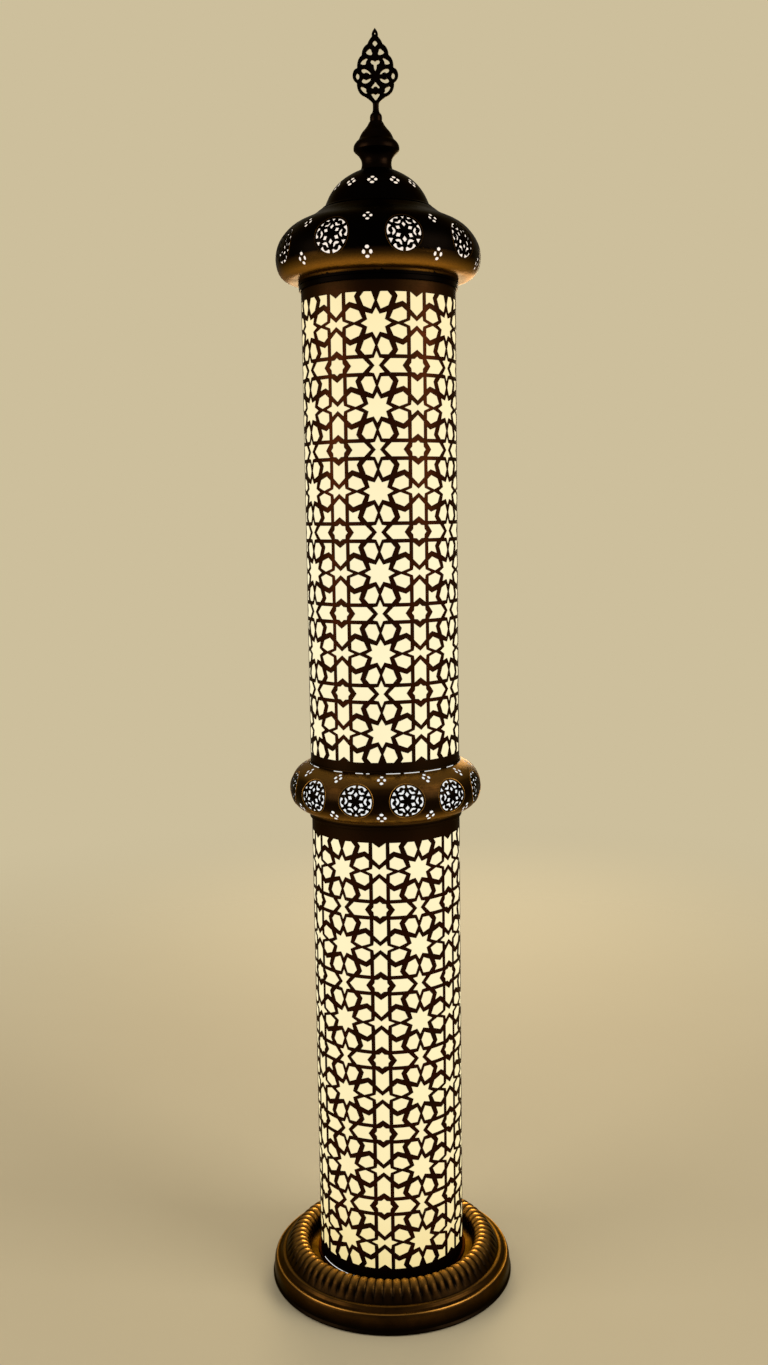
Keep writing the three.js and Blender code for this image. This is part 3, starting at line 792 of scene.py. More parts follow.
def polar(centre: Point, size: float, spots: Iterable[tuple[float, float]]) -> list[Point]:
    """Turn shares of a size and degrees into points round a centre."""
    return [
        (
            centre[0] + size * share * math.cos(math.radians(degrees)),
            centre[1] + size * share * math.sin(math.radians(degrees)),
        )
        for share, degrees in spots
    ]


# Reflections of a flat shape
SWAP = Matrix(((0, 1, 0, 0), (1, 0, 0, 0), (0, 0, 1, 0), (0, 0, 0, 1)))
FLIP_X = Matrix.Diagonal((-1, 1, 1, 1))
FLIP_Y = Matrix.Diagonal((1, -1, 1, 1))


@dataclass(frozen=True)
class StarTile:
    """One tile of the straps that weave eight-pointed stars, drawn from the eighth that repeats.

    Points are shares of the tile, right of and above the middle of its big star.
    """

    edge: tuple[Point, ...] = (
        (0.18, 0), (0.1035, 0.0429), (0.1273, 0.1273), (0.23, 0.23), (0.32, 0.26), (0.369, 0.228),
        (0.37, 0.37), (0.4236, 0.4236), (0.4671, 0.4205), (0.5, 0.392), (0.5, 0.31), (0.417, 0.37),
        (0.417, 0.165), (0.5, 0.085), (0.5, 0.024), (0.42, 0.09), (0.411, 0.033), (0.331, 0),
    )
    petal: tuple[Point, ...] = (
        (0.165, 0.057), (0.262, 0.015), (0.368, 0.0535), (0.37, 0.14), (0.312, 0.189), (0.205, 0.147),
    )
    corner: tuple[Point, ...] = (
        (0.37, 0.37), (0.228, 0.369), (0.26, 0.32), (0.23, 0.23), (0.32, 0.26), (0.369, 0.228),
    )

    def inner_quarter(self) -> bmesh.types.BMesh:
        """Return the quarter tile that meets other tiles above and beside it."""
        eighth = pierced_plate(self.edge, [self.petal])
        quarter = bmesh.new()
        stamp(quarter, eighth, Matrix.Identity(4))
        stamp(quarter, eighth, SWAP)
        eighth.free()
        return quarter

    def end_quarter(self, end: float) -> bmesh.types.BMesh:
        """Return the quarter tile at an end of the tube, closed by a plain band.

        Args:
            end: the tube's end, as a share of the tile from the middle of its star.
        """
        bow_to_arrow = self.edge[10:]
        outline = (*bow_to_arrow, *self.edge[:3], (0.0429, 0.1035), (0, 0.18), (0, end), (0.5, end))
        petals = [self.petal, [(y, x) for x, y in self.petal]]
        return pierced_plate(outline, [*petals, self.corner])

    def half(self, quarter: bmesh.types.BMesh, width: float, height: float) -> bmesh.types.BMesh:
        """Return the upper half of a tile in millimetres, cut so that it can bend.

        Args:
            quarter: its right half in shares, which is used up.
            width: width of a tile.
            height: height of a tile.
        """
        size = Matrix.Diagonal((width, height, 1, 1))
        half = bmesh.new()
        stamp(half, quarter, size)
        stamp(half, quarter, size @ FLIP_X)
        quarter.free()
        cut_across(half, 0, even_places(-width / 2, width / 2, width / 12 + MERGE))
        bmesh.ops.remove_doubles(half, verts=half.verts, dist=MERGE)
        return half


@dataclass(frozen=True)
class PiercedTube:
    """A rolled sheet tube pierced with star tiles, and the opal liner in it."""

    name: str
    first_row: float
    turn: float
    radius: float = 90.0
    sheet: float = 0.5
    liner_gap: float = 0.05
    liner_thickness: float = 1.0
    tiles_round: int = 6
    rows: int = 6
    pitch: float = 91.8
    painted_shade_band: float = 8.0
    painted_shade_reach: float = 45.0
    tile: StarTile = StarTile()

    def shade(self) -> bmesh.types.BMesh:
        """Return the pierced tube."""
        span = Span.of(f"{self.name}_shade")
        length = span.top - span.foot
        straight = Profile((((self.radius, span.foot), (self.radius, span.top)),), steps=1)
        wall = TurnedWall(straight, self.radius)
        width = wall.girth / self.tiles_round
        last_row = self.first_row + (self.rows - 1) * self.pitch

        def half_of(quarter: bmesh.types.BMesh) -> bmesh.types.BMesh:
            """Return half a tile at this tube's size."""
            return self.tile.half(quarter, width, self.pitch)

        inner = half_of(self.tile.inner_quarter())
        foot_end = half_of(self.tile.end_quarter(self.first_row / self.pitch))
        top_end = half_of(self.tile.end_quarter((length - last_row) / self.pitch))
        sheet = bmesh.new()
        for column in range(self.tiles_round):
            across = wall.girth * self.turn / 360 + column * width
            for row in range(self.rows):
                place = Matrix.Translation((across, self.first_row + row * self.pitch, 0))
                stamp(sheet, top_end if row == self.rows - 1 else inner, place)
                stamp(sheet, foot_end if row == 0 else inner, place @ FLIP_Y)
        for part in (inner, foot_end, top_end):
            part.free()
        wall.wall(sheet, self.sheet)
        # Painted shade near both ends of the tube
        shade_by_height(sheet, "patina_and_shade", (
            (span.foot, 1.0), (span.foot + self.painted_shade_band, 0.9), (span.foot + self.painted_shade_reach, 0.0),
            (span.top - self.painted_shade_reach, 0.0), (span.top - self.painted_shade_band, 0.9), (span.top, 1.0),
        ))
        return sheet

    def liner(self) -> bmesh.types.BMesh:
        """Return the opal liner, a thin tube inside the pierced one."""
        span = Span.of(f"{self.name}_liner")
        outer = self.radius - self.sheet - self.liner_gap
        inner = outer - self.liner_thickness
        outline = [(inner, span.foot), (outer, span.foot), (outer, span.top), (inner, span.top)]
        return turned(outline, 120)

    def build(self, shop: Workshop) -> None:
        """Make the tube and its liner."""
        name = self.name
        shop.finish(f"{name}_pierced_tube", self.shade(), OXIDISED_BRONZE, Body.ROOT, [f"{name}_shade"])
        shop.finish(f"{name}_opal_liner", self.liner(), LIT_OPAL, Body.ROOT, [f"{name}_liner"])


@dataclass(frozen=True)
class Medallion:
    """A round panel pierced with a six-pointed rosette inside a broken ring of arcs.

    Shapes are shares of the pierced radius, with degrees from the middle line of each.
    """

    pierced: float
    upside_down: bool
    rim_space: float = 1.0
    step: float = 0.8
    sunk: float = 0.6
    bead: float = 0.4
    wear_and_highlight: float = 0.45
    breadth: float = 1.0
    diamond: tuple[Point, ...] = ((0.57, 0), (0.43, 17), (0.25, 0), (0.43, -17))
    crescent: tuple[Point, ...] = (
        (0.5, 0), (0.56, 12), (0.72, 19), (0.71, 10), (0.64, 0), (0.71, -10), (0.72, -19), (0.56, -12),
    )
    arc: tuple[Point, ...] = (
        (0.84, 5), (1, 5), (1, 14), (1, 24), (1, 33), (0.98, 42), (0.83, 40.5), (0.81, 36),
        (0.88, 31), (0.93, 26), (0.93, 21), (0.88, 16), (0.81, 11),
    )
    spur: tuple[Point, ...] = ((0.76, 0), (0.985, -8), (0.985, 8))

    @property
    def panel_radius(self) -> float:
        """Radius of the sunk panel."""
        return self.pierced + self.rim_space

    @property
    def rim_radius(self) -> float:
        """Radius at which the panel's rim meets the wall."""
        return self.panel_radius + self.step

    def openings(self, centre: Point) -> list[list[Point]]:
        """Return the corners of each opening round a centre."""
        turn = 180 if self.upside_down else 0

        def placed(shape: Sequence[Point], degrees: float, side: int = 1) -> list[Point]:
            """Return a shape turned to its place, mirrored where side is -1."""
            spots = [(share, turn + degrees + side * angle) for share, angle in shape]
            round_nought = polar((0.0, 0.0), self.pierced, spots)
            return [(centre[0] + self.breadth * x, centre[1] + y) for x, y in round_nought]

        openings = []
        for sixth in range(6):
            openings.append(placed(self.diamond, 90 + 60 * sixth))
            openings.append(placed(self.crescent, 60 * sixth))
        for third in range(3):
            openings.append(placed(self.spur, 90 + 120 * third))
            openings += [placed(self.arc, 30 + 120 * third, side) for side in (1, -1)]
        return openings

    def rim(self, wall: TurnedWall, centre: Point) -> bmesh.types.BMesh:
        """Return the bead round the panel, laid on the wall."""
        shape = bmesh.new()
        ring = bmesh.ops.create_circle(shape, segments=8, radius=self.bead, cap_ends=False)
        upright = Matrix.Translation((self.rim_radius, 0, 0)) @ Matrix.Rotation(math.pi / 2, 4, "X")
        bmesh.ops.transform(shape, matrix=upright, verts=ring["verts"])
        bmesh.ops.spin(
            shape, geom=shape.verts[:] + shape.edges[:], cent=(0, 0, 0), axis=(0, 0, 1),
            angle=FULL_TURN, steps=48, use_merge=True,
        )
        bmesh.ops.remove_doubles(shape, verts=shape.verts, dist=MERGE)
        bmesh.ops.recalc_face_normals(shape, faces=shape.faces)
        bmesh.ops.scale(shape, vec=(self.breadth, 1, 1), verts=shape.verts)
        bmesh.ops.translate(shape, vec=(*centre, 0), verts=shape.verts)
        # The bead is brightened as a painted highlight along its rim
        wear_and_highlight = shape.verts.layers.float.new("wear_and_highlight")
        for vert in shape.verts:
            vert[wear_and_highlight] = self.wear_and_highlight
        wall.carry(shape)
        return shape


def quatrefoil(centre: Point, reach: Point = (4.0, 5.2), size: Point = (2.4, 1.9)) -> list[list[Point]]:
    """Return four small ovals in a diamond.

    Args:
        centre: its middle.
        reach: distance of the side ovals and of the upper and lower ones from it.
        size: half the length and half the width of an oval.

    Returns:
        The corners of each oval.
    """
    ovals = []
    for quarter in range(4):
        turn = math.pi / 2 * quarter
        spot = (centre[0] + reach[0] * math.cos(turn), centre[1] + reach[1] * math.sin(turn))
        ovals.append(circle(spot, size, 10, turn + math.pi / 2))
    return ovals


@dataclass(frozen=True)
class PiercedBand:
    """Equal cells of a flat sheet, each with one medallion or none and with small openings.

    The cell starts short of its medallion and ends past the small openings beside it, so that no
    opening crosses its sides.
    """

    wall: TurnedWall
    cells: int
    turn: float
    start: float
    openings: tuple[tuple[Point, ...], ...]
    medallion: Medallion | None = None
    centre: Point = (0.0, 0.0)
    longest: float = 5.0

    @property
    def width(self) -> float:
        """Width of a cell."""
        return self.wall.girth / self.cells

    def cell(self) -> bmesh.types.BMesh:
        """Return one flat cell."""
        left, right, top = self.start, self.start + self.width, self.wall.length
        outline = [(left, 0.0), (right, 0.0), (right, top), (left, top)]
        holes = [list(opening) for opening in self.openings]
        if self.medallion is None:
            shape = pierced_plate(outline, holes)
        else:
            shape = self.cell_round_medallion(outline, holes)
        cut_across(shape, 0, even_places(left, right, self.longest))
        cut_across(shape, 1, self.wall.reach[1:-1])
        return shape

    def cell_round_medallion(
        self, outline: Sequence[Point], holes: list[list[Point]],
    ) -> bmesh.types.BMesh:
        """Return a cell whose medallion is a sunk panel with a stepped rim."""
        panel = self.medallion
        corners = 48
        rim = circle(self.centre, (panel.breadth * panel.rim_radius, panel.rim_radius), corners)
        edge = circle(self.centre, (panel.breadth * panel.panel_radius, panel.panel_radius), corners)
        shape = pierced_plate(outline, [*holes, rim])
        field_plate = pierced_plate(edge, panel.openings(self.centre))
        # The sunk panel's field is darkened all over: painted shade of the backlit panel
        patina_and_shade = field_plate.verts.layers.float.new("patina_and_shade")
        for vert in field_plate.verts:
            vert[patina_and_shade] = 1.0
        stamp(shape, field_plate, Matrix.Translation((0, 0, -panel.sunk)))
        field_plate.free()

        def lies_on(side: bmesh.types.BMEdge, radius: float) -> bool:
            """Return whether an open edge lies on the circle of a radius."""
            spots = [vert.co.xy - Vector(self.centre) for vert in side.verts]
            away = [math.hypot(spot.x / panel.breadth, spot.y) for spot in spots]
            return side.is_boundary and all(abs(distance - radius) < MERGE for distance in away)

        radii = (panel.rim_radius, panel.panel_radius)
        loops = [e for e in shape.edges if any(lies_on(e, radius) for radius in radii)]
        bmesh.ops.bridge_loops(shape, edges=loops)
        return shape

    def places(self) -> list[float]:
        """Return where the middle line of each cell lies round the sheet."""
        first = self.wall.girth * self.turn / 360
        return [first + number * self.width for number in range(self.cells)]

    def once_round(self, cell: bmesh.types.BMesh) -> bmesh.types.BMesh:
        """Copy a flat cell to every place round the lamp, and use it up."""
        sheet = bmesh.new()
        for across in self.places():
            stamp(sheet, cell, Matrix.Translation((across, 0, 0)))
        cell.free()
        return sheet

    def shell(self, thickness: float) -> bmesh.types.BMesh:
        """Return the pierced wall, with a bead round each medallion."""
        shell = self.once_round(self.cell())
        self.wall.wall(shell, thickness)
        if self.medallion is not None:
            for across in self.places():
                bead = self.medallion.rim(self.wall, (across + self.centre[0], self.centre[1]))
                stamp(shell, bead, Matrix.Identity(4))
                bead.free()
        return shell

    def cell_plugs(self, behind: float, back: float) -> bmesh.types.BMesh:
        """Return one cell's openings as flat plugs.

        Args:
            behind: how far behind the metal's face a plug starts.
            back: how far behind the wall's outer side it ends.
        """
        groups = [(self.openings, 0.0)]
        if self.medallion is not None:
            groups.append((self.medallion.openings(self.centre), self.medallion.sunk))
        plugs = bmesh.new()
        for openings, sunk in groups:
            for opening in openings:
                plate = pierced_plate(opening, [])
                stamp(plugs, plate, Matrix.Translation((0, 0, -sunk - behind)))
                plate.free()
        for vert in second_side(plugs):
            vert.co.z = -back
        bmesh.ops.recalc_face_normals(plugs, faces=plugs.faces)
        return plugs

    def glow_sheet(self, low: float, high: float, back: float, behind: float) -> bmesh.types.BMesh:
        """Return the sheet of painted bulb glow behind the wall, pressed into its openings.

        Args:
            low: height of its lower edge.
            high: height of its upper edge.
            back: how far behind the wall's outer side the film lies.
            behind: how far behind the metal's face it stays in the openings.
        """
        wall = self.wall
        glow_sheet = lining(wall, wall.along(low), wall.along(high), back, 0.5)
        plugs = self.once_round(self.cell_plugs(behind, back + 0.1))
        wall.carry(plugs)
        stamp(glow_sheet, plugs, Matrix.Identity(4))
        plugs.free()
        return glow_sheet


def lining(wall: TurnedWall, low: float, high: float, gap: float, thickness: float) -> bmesh.types.BMesh:
    """Return a thin closed sheet behind part of a wall.

    Args:
        wall: the wall that it lies behind.
        low: where it starts up the wall's profile.
        high: where it ends.
        gap: how far behind the wall's outer side it lies.
        thickness: its own thickness.
    """
    stops = [low, *(reach for reach in wall.reach if low < reach < high), high]

    def side(out: float) -> list[Point]:
        """Return one side of the sheet as radius and height."""
        spots = [wall.place(0.0, up, out) for up in stops]
        return [(-spot.y, spot.z) for spot in spots]

    return turned([*side(-gap), *reversed(side(-gap - thickness))], 120)


def degrees_to_sheet(wall: TurnedWall, degrees: float) -> float:
    """Return how far along the sheet an angle round the lamp is."""
    return wall.girth * degrees / 360


def quatrefoils_between(
    wall: TurnedWall, cells: int, heights: Sequence[float],
) -> tuple[tuple[Point, ...], ...]:
    """Return the ovals of the quatrefoils that stand midway between two medallions.

    Args:
        wall: the wall that they pierce.
        cells: the number of medallions round the lamp.
        heights: the quatrefoils' heights above the floor.
    """
    between = degrees_to_sheet(wall, 180 / cells)
    return tuple(
        tuple(oval) for height in heights for oval in quatrefoil((between, wall.along(height)))
    )


@dataclass(frozen=True)
class MiddleRing:
    """The pierced brass ring between the tubes, with a sheet of painted bulb glow behind its piercings."""

    mouth: float = 91.4
    lip: float = 92.6
    lip_height: float = 3.1
    thickness: float = 1.5
    bulge: float = 115.6
    cells: int = 12
    turn: float = 12.5
    medallion: Medallion = Medallion(19.3, True)
    medallion_height: float = 629.0
    quatrefoil_heights: tuple[float, float] = (609.0, 651.6)
    cell_start: float = -11.5
    glow_back: float = 2.2
    glow_sunk: float = 0.25
    glow_heights: tuple[float, float] = (601.5, 655.6)
    light_gap: float = 0.8
    leaks: tuple[tuple[float, float], ...] = (
        (-68, -59), (-40.7, -33.2), (-22.1, -16.3), (-13.9, -11.5), (0.6, 10.9), (13.8, 25.6),
        (29.8, 45), (52, 61), (84, 97), (128, 134), (151, 166), (189, 201), (222, 228), (247, 262),
    )
    # Painted highlights where the tubes' light falls on the ring's lower and upper edges
    brightened: tuple[Point, ...] = (
        (597.0, 0.0), (599.6, 0.75), (603.0, 0.45), (609.0, 0.12), (614.0, 0.0), (642.0, 0.0),
        (649.0, 0.22), (655.0, 0.3), (656.5, 0.1),
    )
    # Painted shade on the lip and round the medallions
    painted_shade: tuple[Point, ...] = (
        (594.5, 0.75), (598.0, 0.75), (599.4, 0.0), (607.0, 0.2), (616.0, 0.85), (634.0, 0.85),
        (646.0, 0.15), (652.0, 0.0),
    )

    def wall(self) -> TurnedWall:
        """Return the ring's wall."""
        span = Span.of("middle_ring")
        lip_top = span.foot + self.lip_height
        side = (
            (self.lip, lip_top), (94.6, 599.4), (99.6, 600.6), (105.2, 603.2), (109.8, 607.6),
            (113.3, 613.4), (self.bulge, 622.6), (115.0, 631.5), (112.3, 638.8), (108.7, 645.0),
            (103.6, 650.2), (96.6, 654.2), (self.mouth, span.top),
        )
        return TurnedWall(Profile((((self.lip, span.foot), side[0]), side), steps=2), self.bulge)

    def light_gaps(self) -> bmesh.types.BMesh:
        """Return the light that shows in the narrow gaps between the ring and the tube above."""
        top = Span.of("middle_ring").top
        inner, outer = self.mouth + 0.05, self.mouth + 0.4
        section = [(inner, top), (outer, top), (outer, top + self.light_gap), (inner, top + self.light_gap)]
        gaps = bmesh.new()
        for start, end in self.leaks:
            strip = arc_strip(section, start, end)
            stamp(gaps, strip, Matrix.Identity(4))
            strip.free()
        return gaps

    def build(self, shop: Workshop) -> None:
        """Make the ring and its film."""
        wall = self.wall()
        band = PiercedBand(
            wall, self.cells, self.turn, degrees_to_sheet(wall, self.cell_start),
            quatrefoils_between(wall, self.cells, self.quatrefoil_heights), self.medallion,
            (0.0, wall.along(self.medallion_height)),
        )
        shell = band.shell(self.thickness)
        # Painted highlights and painted shade by height
        shade_by_height(shell, "wear_and_highlight", self.brightened)
        shade_by_height(shell, "patina_and_shade", self.painted_shade)
        glow_sheet = band.glow_sheet(*self.glow_heights, self.glow_back, self.glow_sunk)
        shop.finish("pierced_middle_ring", shell, AGED_BRASS, Body.ROOT, ["middle_ring"])
        shop.finish("ring_bulb_glow", glow_sheet, COOL_BULB_GLOW, Body.ROOT)
        shop.finish("ring_light_gaps", self.light_gaps(), COOL_BULB_GLOW, Body.ROOT)


@dataclass(frozen=True)
class Cap:
    """The onion cap: a pierced bulge, a pierced dome, a turned neck and a collar."""

    thickness: float = 1.5
    mouth: float = 93.0
    mouth_height: float = 5.5
    bulge: float = 118.6
    cells: int = 9
    turn: float = 14.3
    medallion: Medallion = Medallion(21.1, False, bead=0.3, wear_and_highlight=0.12, breadth=0.93)
    medallion_height: float = 1255.0
    quatrefoil_heights: tuple[float, float] = (1233.5, 1273.5)
    cell_start: float = -14.5
    glow_back: float = 2.2
    glow_sunk: float = 0.5
    glow_heights: tuple[float, float] = (1226.0, 1296.0)
    dot_height: float = 1289.0
    dot_ring: float = 83.0
    dot_angles: tuple[float, ...] = (-12.4, -2.4, 7.6, 17.6)
    dot_radius: float = 0.85
    stem_bore: float = 3.3
    dome_gauge: float = 60.0
    dome_cells: int = 12
    dome_turn: float = -6.0
    dome_cell_start: float = -15.0
    dome_quatrefoil_height: float = 1324.0
    dome_quatrefoil_ring: float = 49.5
    dome_quatrefoil_reach: Point = (3.9, 4.4)
    dome_glow_back: float = 1.6
    dome_glow_sunk: float = 0.25
    dome_glow_heights: tuple[float, float] = (1314.0, 1333.0)
    # Painted shade over the dome
    dome_painted_shade: tuple[Point, ...] = ((1299.0, 1.0), (1320.0, 0.8), (1345.0, 0.6))
    # Painted glow of the tubes' light on the bulge's underside
    brightened: tuple[Point, ...] = (
        (1220.6, 0.0), (1221.6, 0.8), (1224.5, 0.9), (1228.5, 0.42), (1233.0, 0.12), (1238.0, 0.0),
    )
    # Painted shade on the mouth collar and on the bulge above its underside
    painted_shade: tuple[Point, ...] = (
        (1220.8, 1.0), (1221.6, 0.0), (1227.0, 0.1), (1234.0, 0.75), (1243.0, 1.0),
    )

    def bulge_wall(self) -> TurnedWall:
        """Return the bulge's wall."""
        span = Span.of("cap_bulge")
        lip = span.foot + self.mouth_height
        collar = ((self.mouth, span.foot), (self.mouth, lip))
        side = (
            (self.mouth, lip), (100.5, 1221.2), (107.6, 1222.8), (113.4, 1227.3), (117.0, 1234.6),
            (self.bulge, 1244.5), (117.6, 1254.0), (114.4, 1263.0), (108.6, 1271.4),
            (102.0, 1278.2), (93.5, 1283.8), (83.0, 1288.6), (75.0, 1292.8), (69.6, 1297.0),
            (66.6, 1298.8), (62.6, span.top),
        )
        return TurnedWall(Profile((collar, side), steps=2), self.bulge)

    def bulge_band(self) -> PiercedBand:
        """Return the bulge's wall with its pattern."""
        wall = self.bulge_wall()
        size = (self.dot_radius * self.bulge / self.dot_ring, self.dot_radius)
        up = wall.along(self.dot_height)
        dots = tuple(
            tuple(circle((degrees_to_sheet(wall, degrees), up), size, 8)) for degrees in self.dot_angles
        )
        return PiercedBand(
            wall, self.cells, self.turn, degrees_to_sheet(wall, self.cell_start),
            quatrefoils_between(wall, self.cells, self.quatrefoil_heights) + dots, self.medallion,
            (0.0, wall.along(self.medallion_height)),
        )

    def dome_wall(self) -> TurnedWall:
        """Return the dome's wall, with the bead at its foot."""
        span = Span.of("cap_dome")
        bead = ((63.4, span.foot), (65.0, 1300.2), (63.6, 1301.8))
        side = (
            (61.6, 1302.2), (60.2, 1305.0), (57.6, 1310.8), (54.4, 1317.0), (50.2, 1323.0),
            (45.2, 1328.6), (38.4, 1334.2), (29.5, 1339.6), (21.6, 1343.4), (17.6, span.top),
        )
        return TurnedWall(Profile((bead, (bead[-1], side[0]), side), steps=2), self.dome_gauge)

    def dome_band(self) -> PiercedBand:
        """Return the dome's wall with its pattern."""
        wall = self.dome_wall()
        up = wall.along(self.dome_quatrefoil_height)
        stretch = self.dome_gauge / self.dome_quatrefoil_ring
        ovals = quatrefoil((0.0, 0.0), self.dome_quatrefoil_reach)
        openings = tuple(tuple((x * stretch, y + up) for x, y in oval) for oval in ovals)
        start = degrees_to_sheet(wall, self.dome_cell_start)
        return PiercedBand(wall, self.dome_cells, self.dome_turn, start, openings)

    def neck(self) -> bmesh.types.BMesh:
        """Return the turned neck."""
        span = Span.of("cap_neck")
        side = smooth_run((
            (18.6, 1344.6), (17.2, 1350.0), (17.6, 1355.6), (20.6, 1360.8), (24.6, 1364.6),
        ), 4) + smooth_run((
            (26.2, 1366.4), (26.4, 1368.6), (25.9, 1371.8), (23.6, 1375.4), (20.4, 1378.6),
            (18.8, 1382.0), (16.4, 1386.2), (13.0, 1390.2), (10.2, 1393.8), (7.9, span.top),
        ), 3)
        bore_foot = Span.of("finial_stem").foot - 0.4
        return turned([
            (0.0, span.foot), (6.0, span.foot), (6.0, 1344.6), *side, (self.stem_bore, span.top),
            (self.stem_bore, bore_foot), (0.0, bore_foot),
        ], 72)

    def collar(self) -> bmesh.types.BMesh:
        """Return the small collar between the neck and the leaf."""
        span = Span.of("neck_collar")
        side = smooth_run((
            (6.5, span.foot), (6.9, span.foot + 0.8), (6.9, 1404.0), (6.2, 1406.2), (4.7, 1408.0),
            (3.9, 1409.6), (3.7, span.top),
        ), 3)
        return turned([(self.stem_bore, span.foot), *side, (self.stem_bore, span.top)], 48)

    def build(self, shop: Workshop) -> None:
        """Make the cap's pieces."""
        bulge, dome = self.bulge_band(), self.dome_band()
        bulge_shell = bulge.shell(self.thickness)
        # Painted glow on the underside and painted shade above it
        shade_by_height(bulge_shell, "wear_and_highlight", self.brightened)
        shade_by_height(bulge_shell, "patina_and_shade", self.painted_shade)
        bulge_glow = bulge.glow_sheet(*self.glow_heights, self.glow_back, self.glow_sunk)
        dome_shell = dome.shell(self.thickness)
        shade_by_height(dome_shell, "patina_and_shade", self.dome_painted_shade)
        dome_glow = dome.glow_sheet(*self.dome_glow_heights, self.dome_glow_back, self.dome_glow_sunk)
        # The cap's pieces carry the brass darkened as painted shade
        shop.finish("pierced_cap_bulge", bulge_shell, SHADED_BRASS, Body.CAP, ["cap_bulge"])
        shop.finish("bulge_bulb_glow", bulge_glow, WARM_BULB_GLOW, Body.CAP)
        shop.finish("pierced_cap_dome", dome_shell, SHADED_BRASS, Body.CAP, ["cap_dome"])
        shop.finish("dome_bulb_glow", dome_glow, WARM_BULB_GLOW, Body.CAP)
        shop.finish("turned_cap_neck", self.neck(), SHADED_BRASS, Body.CAP, ["cap_neck"])
        shop.finish("turned_neck_collar", self.collar(), SHADED_BRASS, Body.CAP, ["neck_collar"])


@dataclass(frozen=True)
class LeafFinial:
    """The pierced leaf on its stem. Outlines are its right half, from the leaf's foot, in millimetres."""

    foot: float = 1418.0
    thickness: float = 2.4
    rounding: float = 0.4
    lobes: tuple[tuple[Point, ...], ...] = (
        ((3.1, 0.0), (4.6, 2.2), (7.7, 4.9), (11.2, 7.4), (15.2, 9.4), (18.4, 12.4), (20.5, 16.6),
         (21.3, 20.6), (21.2, 22.8)),
        ((21.2, 22.8), (24.2, 25.6), (26.0, 29.6), (25.6, 34.0), (23.8, 37.4), (20.8, 39.2)),
        ((20.8, 39.2), (20.6, 43.2), (19.6, 47.4), (17.8, 50.6), (15.4, 52.9)),
        ((15.4, 52.9), (15.0, 56.2), (13.8, 59.6), (11.6, 62.8), (8.6, 65.1)),
        ((8.6, 65.1), (7.4, 67.8), (5.6, 70.6), (3.4, 73.2)),
        ((3.4, 73.2), (3.6, 75.6), (2.6, 78.6), (0.0, 82.4)),
    )
    middle_openings: tuple[tuple[Point, ...], ...] = (
        ((0.0, 62.2), (1.5, 63.6), (2.7, 65.4), (1.8, 67.4), (0.0, 68.7)),
        ((0.0, 35.6), (1.3, 38.6), (1.8, 42.2), (4.0, 43.4), (5.1, 45.4), (4.4, 47.2), (2.4, 47.4),
         (0.0, 46.0)),
        ((0.0, 18.9), (1.6, 18.4), (3.2, 16.9), (4.7, 17.8), (3.6, 19.7), (1.7, 21.8), (0.0, 24.2)),
        ((0.0, 3.6), (1.9, 5.6), (3.7, 8.2), (4.7, 10.4), (2.6, 11.0), (0.0, 10.0)),
    )
    side_openings: tuple[tuple[Point, ...], ...] = (
        ((10.2, 55.6), (8.2, 58.3), (5.4, 59.8), (4.0, 57.0), (3.5, 53.6), (7.0, 53.2)),
        ((16.3, 43.5), (15.4, 46.2), (12.2, 48.5), (8.8, 49.2), (10.4, 46.0), (11.4, 42.8)),
        ((5.4, 33.2), (8.4, 36.4), (12.0, 38.0), (15.4, 37.4), (15.2, 34.8), (12.8, 33.2),
         (10.8, 34.2), (8.2, 33.4), (6.2, 31.9)),
        ((5.6, 27.6), (8.6, 26.6), (11.2, 26.2), (13.3, 27.3), (15.4, 25.0), (14.4, 23.0),
         (11.3, 22.3), (8.0, 23.5), (5.8, 25.6)),
        ((20.2, 26.6), (21.8, 28.6), (21.9, 31.4), (20.2, 33.2), (18.6, 31.4), (18.5, 28.6)),
        ((16.7, 18.4), (13.2, 18.0), (10.8, 16.4), (10.9, 13.8), (9.7, 11.5), (13.2, 12.4),
         (15.8, 15.2)),
    )
    eye_height: float = 76.2
    eye_radius: float = 0.85

    def mirrored(self, half: Sequence[Point]) -> list[Point]:
        """Close a right half that starts and ends on the middle line, or near it at the foot."""
        left = [(-x, y) for x, y in reversed(half) if x > MERGE]
        return [*half, *left]

    def plate(self) -> bmesh.types.BMesh:
        """Return the leaf."""
        edge: list[Point] = [self.lobes[0][0]]
        for lobe in self.lobes:
            edge += smooth_run(lobe, 3)[1:]
        openings = [self.mirrored(smooth_run(opening, 3)) for opening in self.middle_openings]
        for opening in self.side_openings:
            right = smooth_run(opening, 3, closed=True)
            openings += [right, [(-x, y) for x, y in right]]
        openings.append(circle((0.0, self.eye_height), (self.eye_radius, self.eye_radius), 10))
        shape = pierced_plate(self.mirrored(edge), openings)
        bmesh.ops.translate(shape, vec=(0, 0, self.thickness), verts=second_side(shape))
        bmesh.ops.recalc_face_normals(shape, faces=shape.faces)
        rims = [e for e in shape.edges if e.calc_face_angle(0) > math.radians(60)]
        level = [e for e in rims if abs(e.verts[0].co.z - e.verts[1].co.z) < MERGE]
        round_edges(shape, level, self.rounding)
        upright = Matrix.Translation((0, self.thickness / 2, self.foot)) @ Matrix.Rotation(
            math.pi / 2, 4, "X",
        )
        bmesh.ops.transform(shape, matrix=upright, verts=shape.verts)
        return shape

    def stem(self) -> bmesh.types.BMesh:
        """Return the stem, which swells a little where it holds the leaf."""
        span = Span.of("finial_stem")
        side = smooth_run((
            (3.0, span.foot + 30.0), (3.0, 1411.2), (3.5, 1411.6), (3.4, 1414.0), (3.5, 1417.0),
            (3.4, 1419.0), (2.6, span.top),
        ), 2)
        return turned([(0.0, span.foot), (3.0, span.foot), *side, (0.0, span.top)], 32)

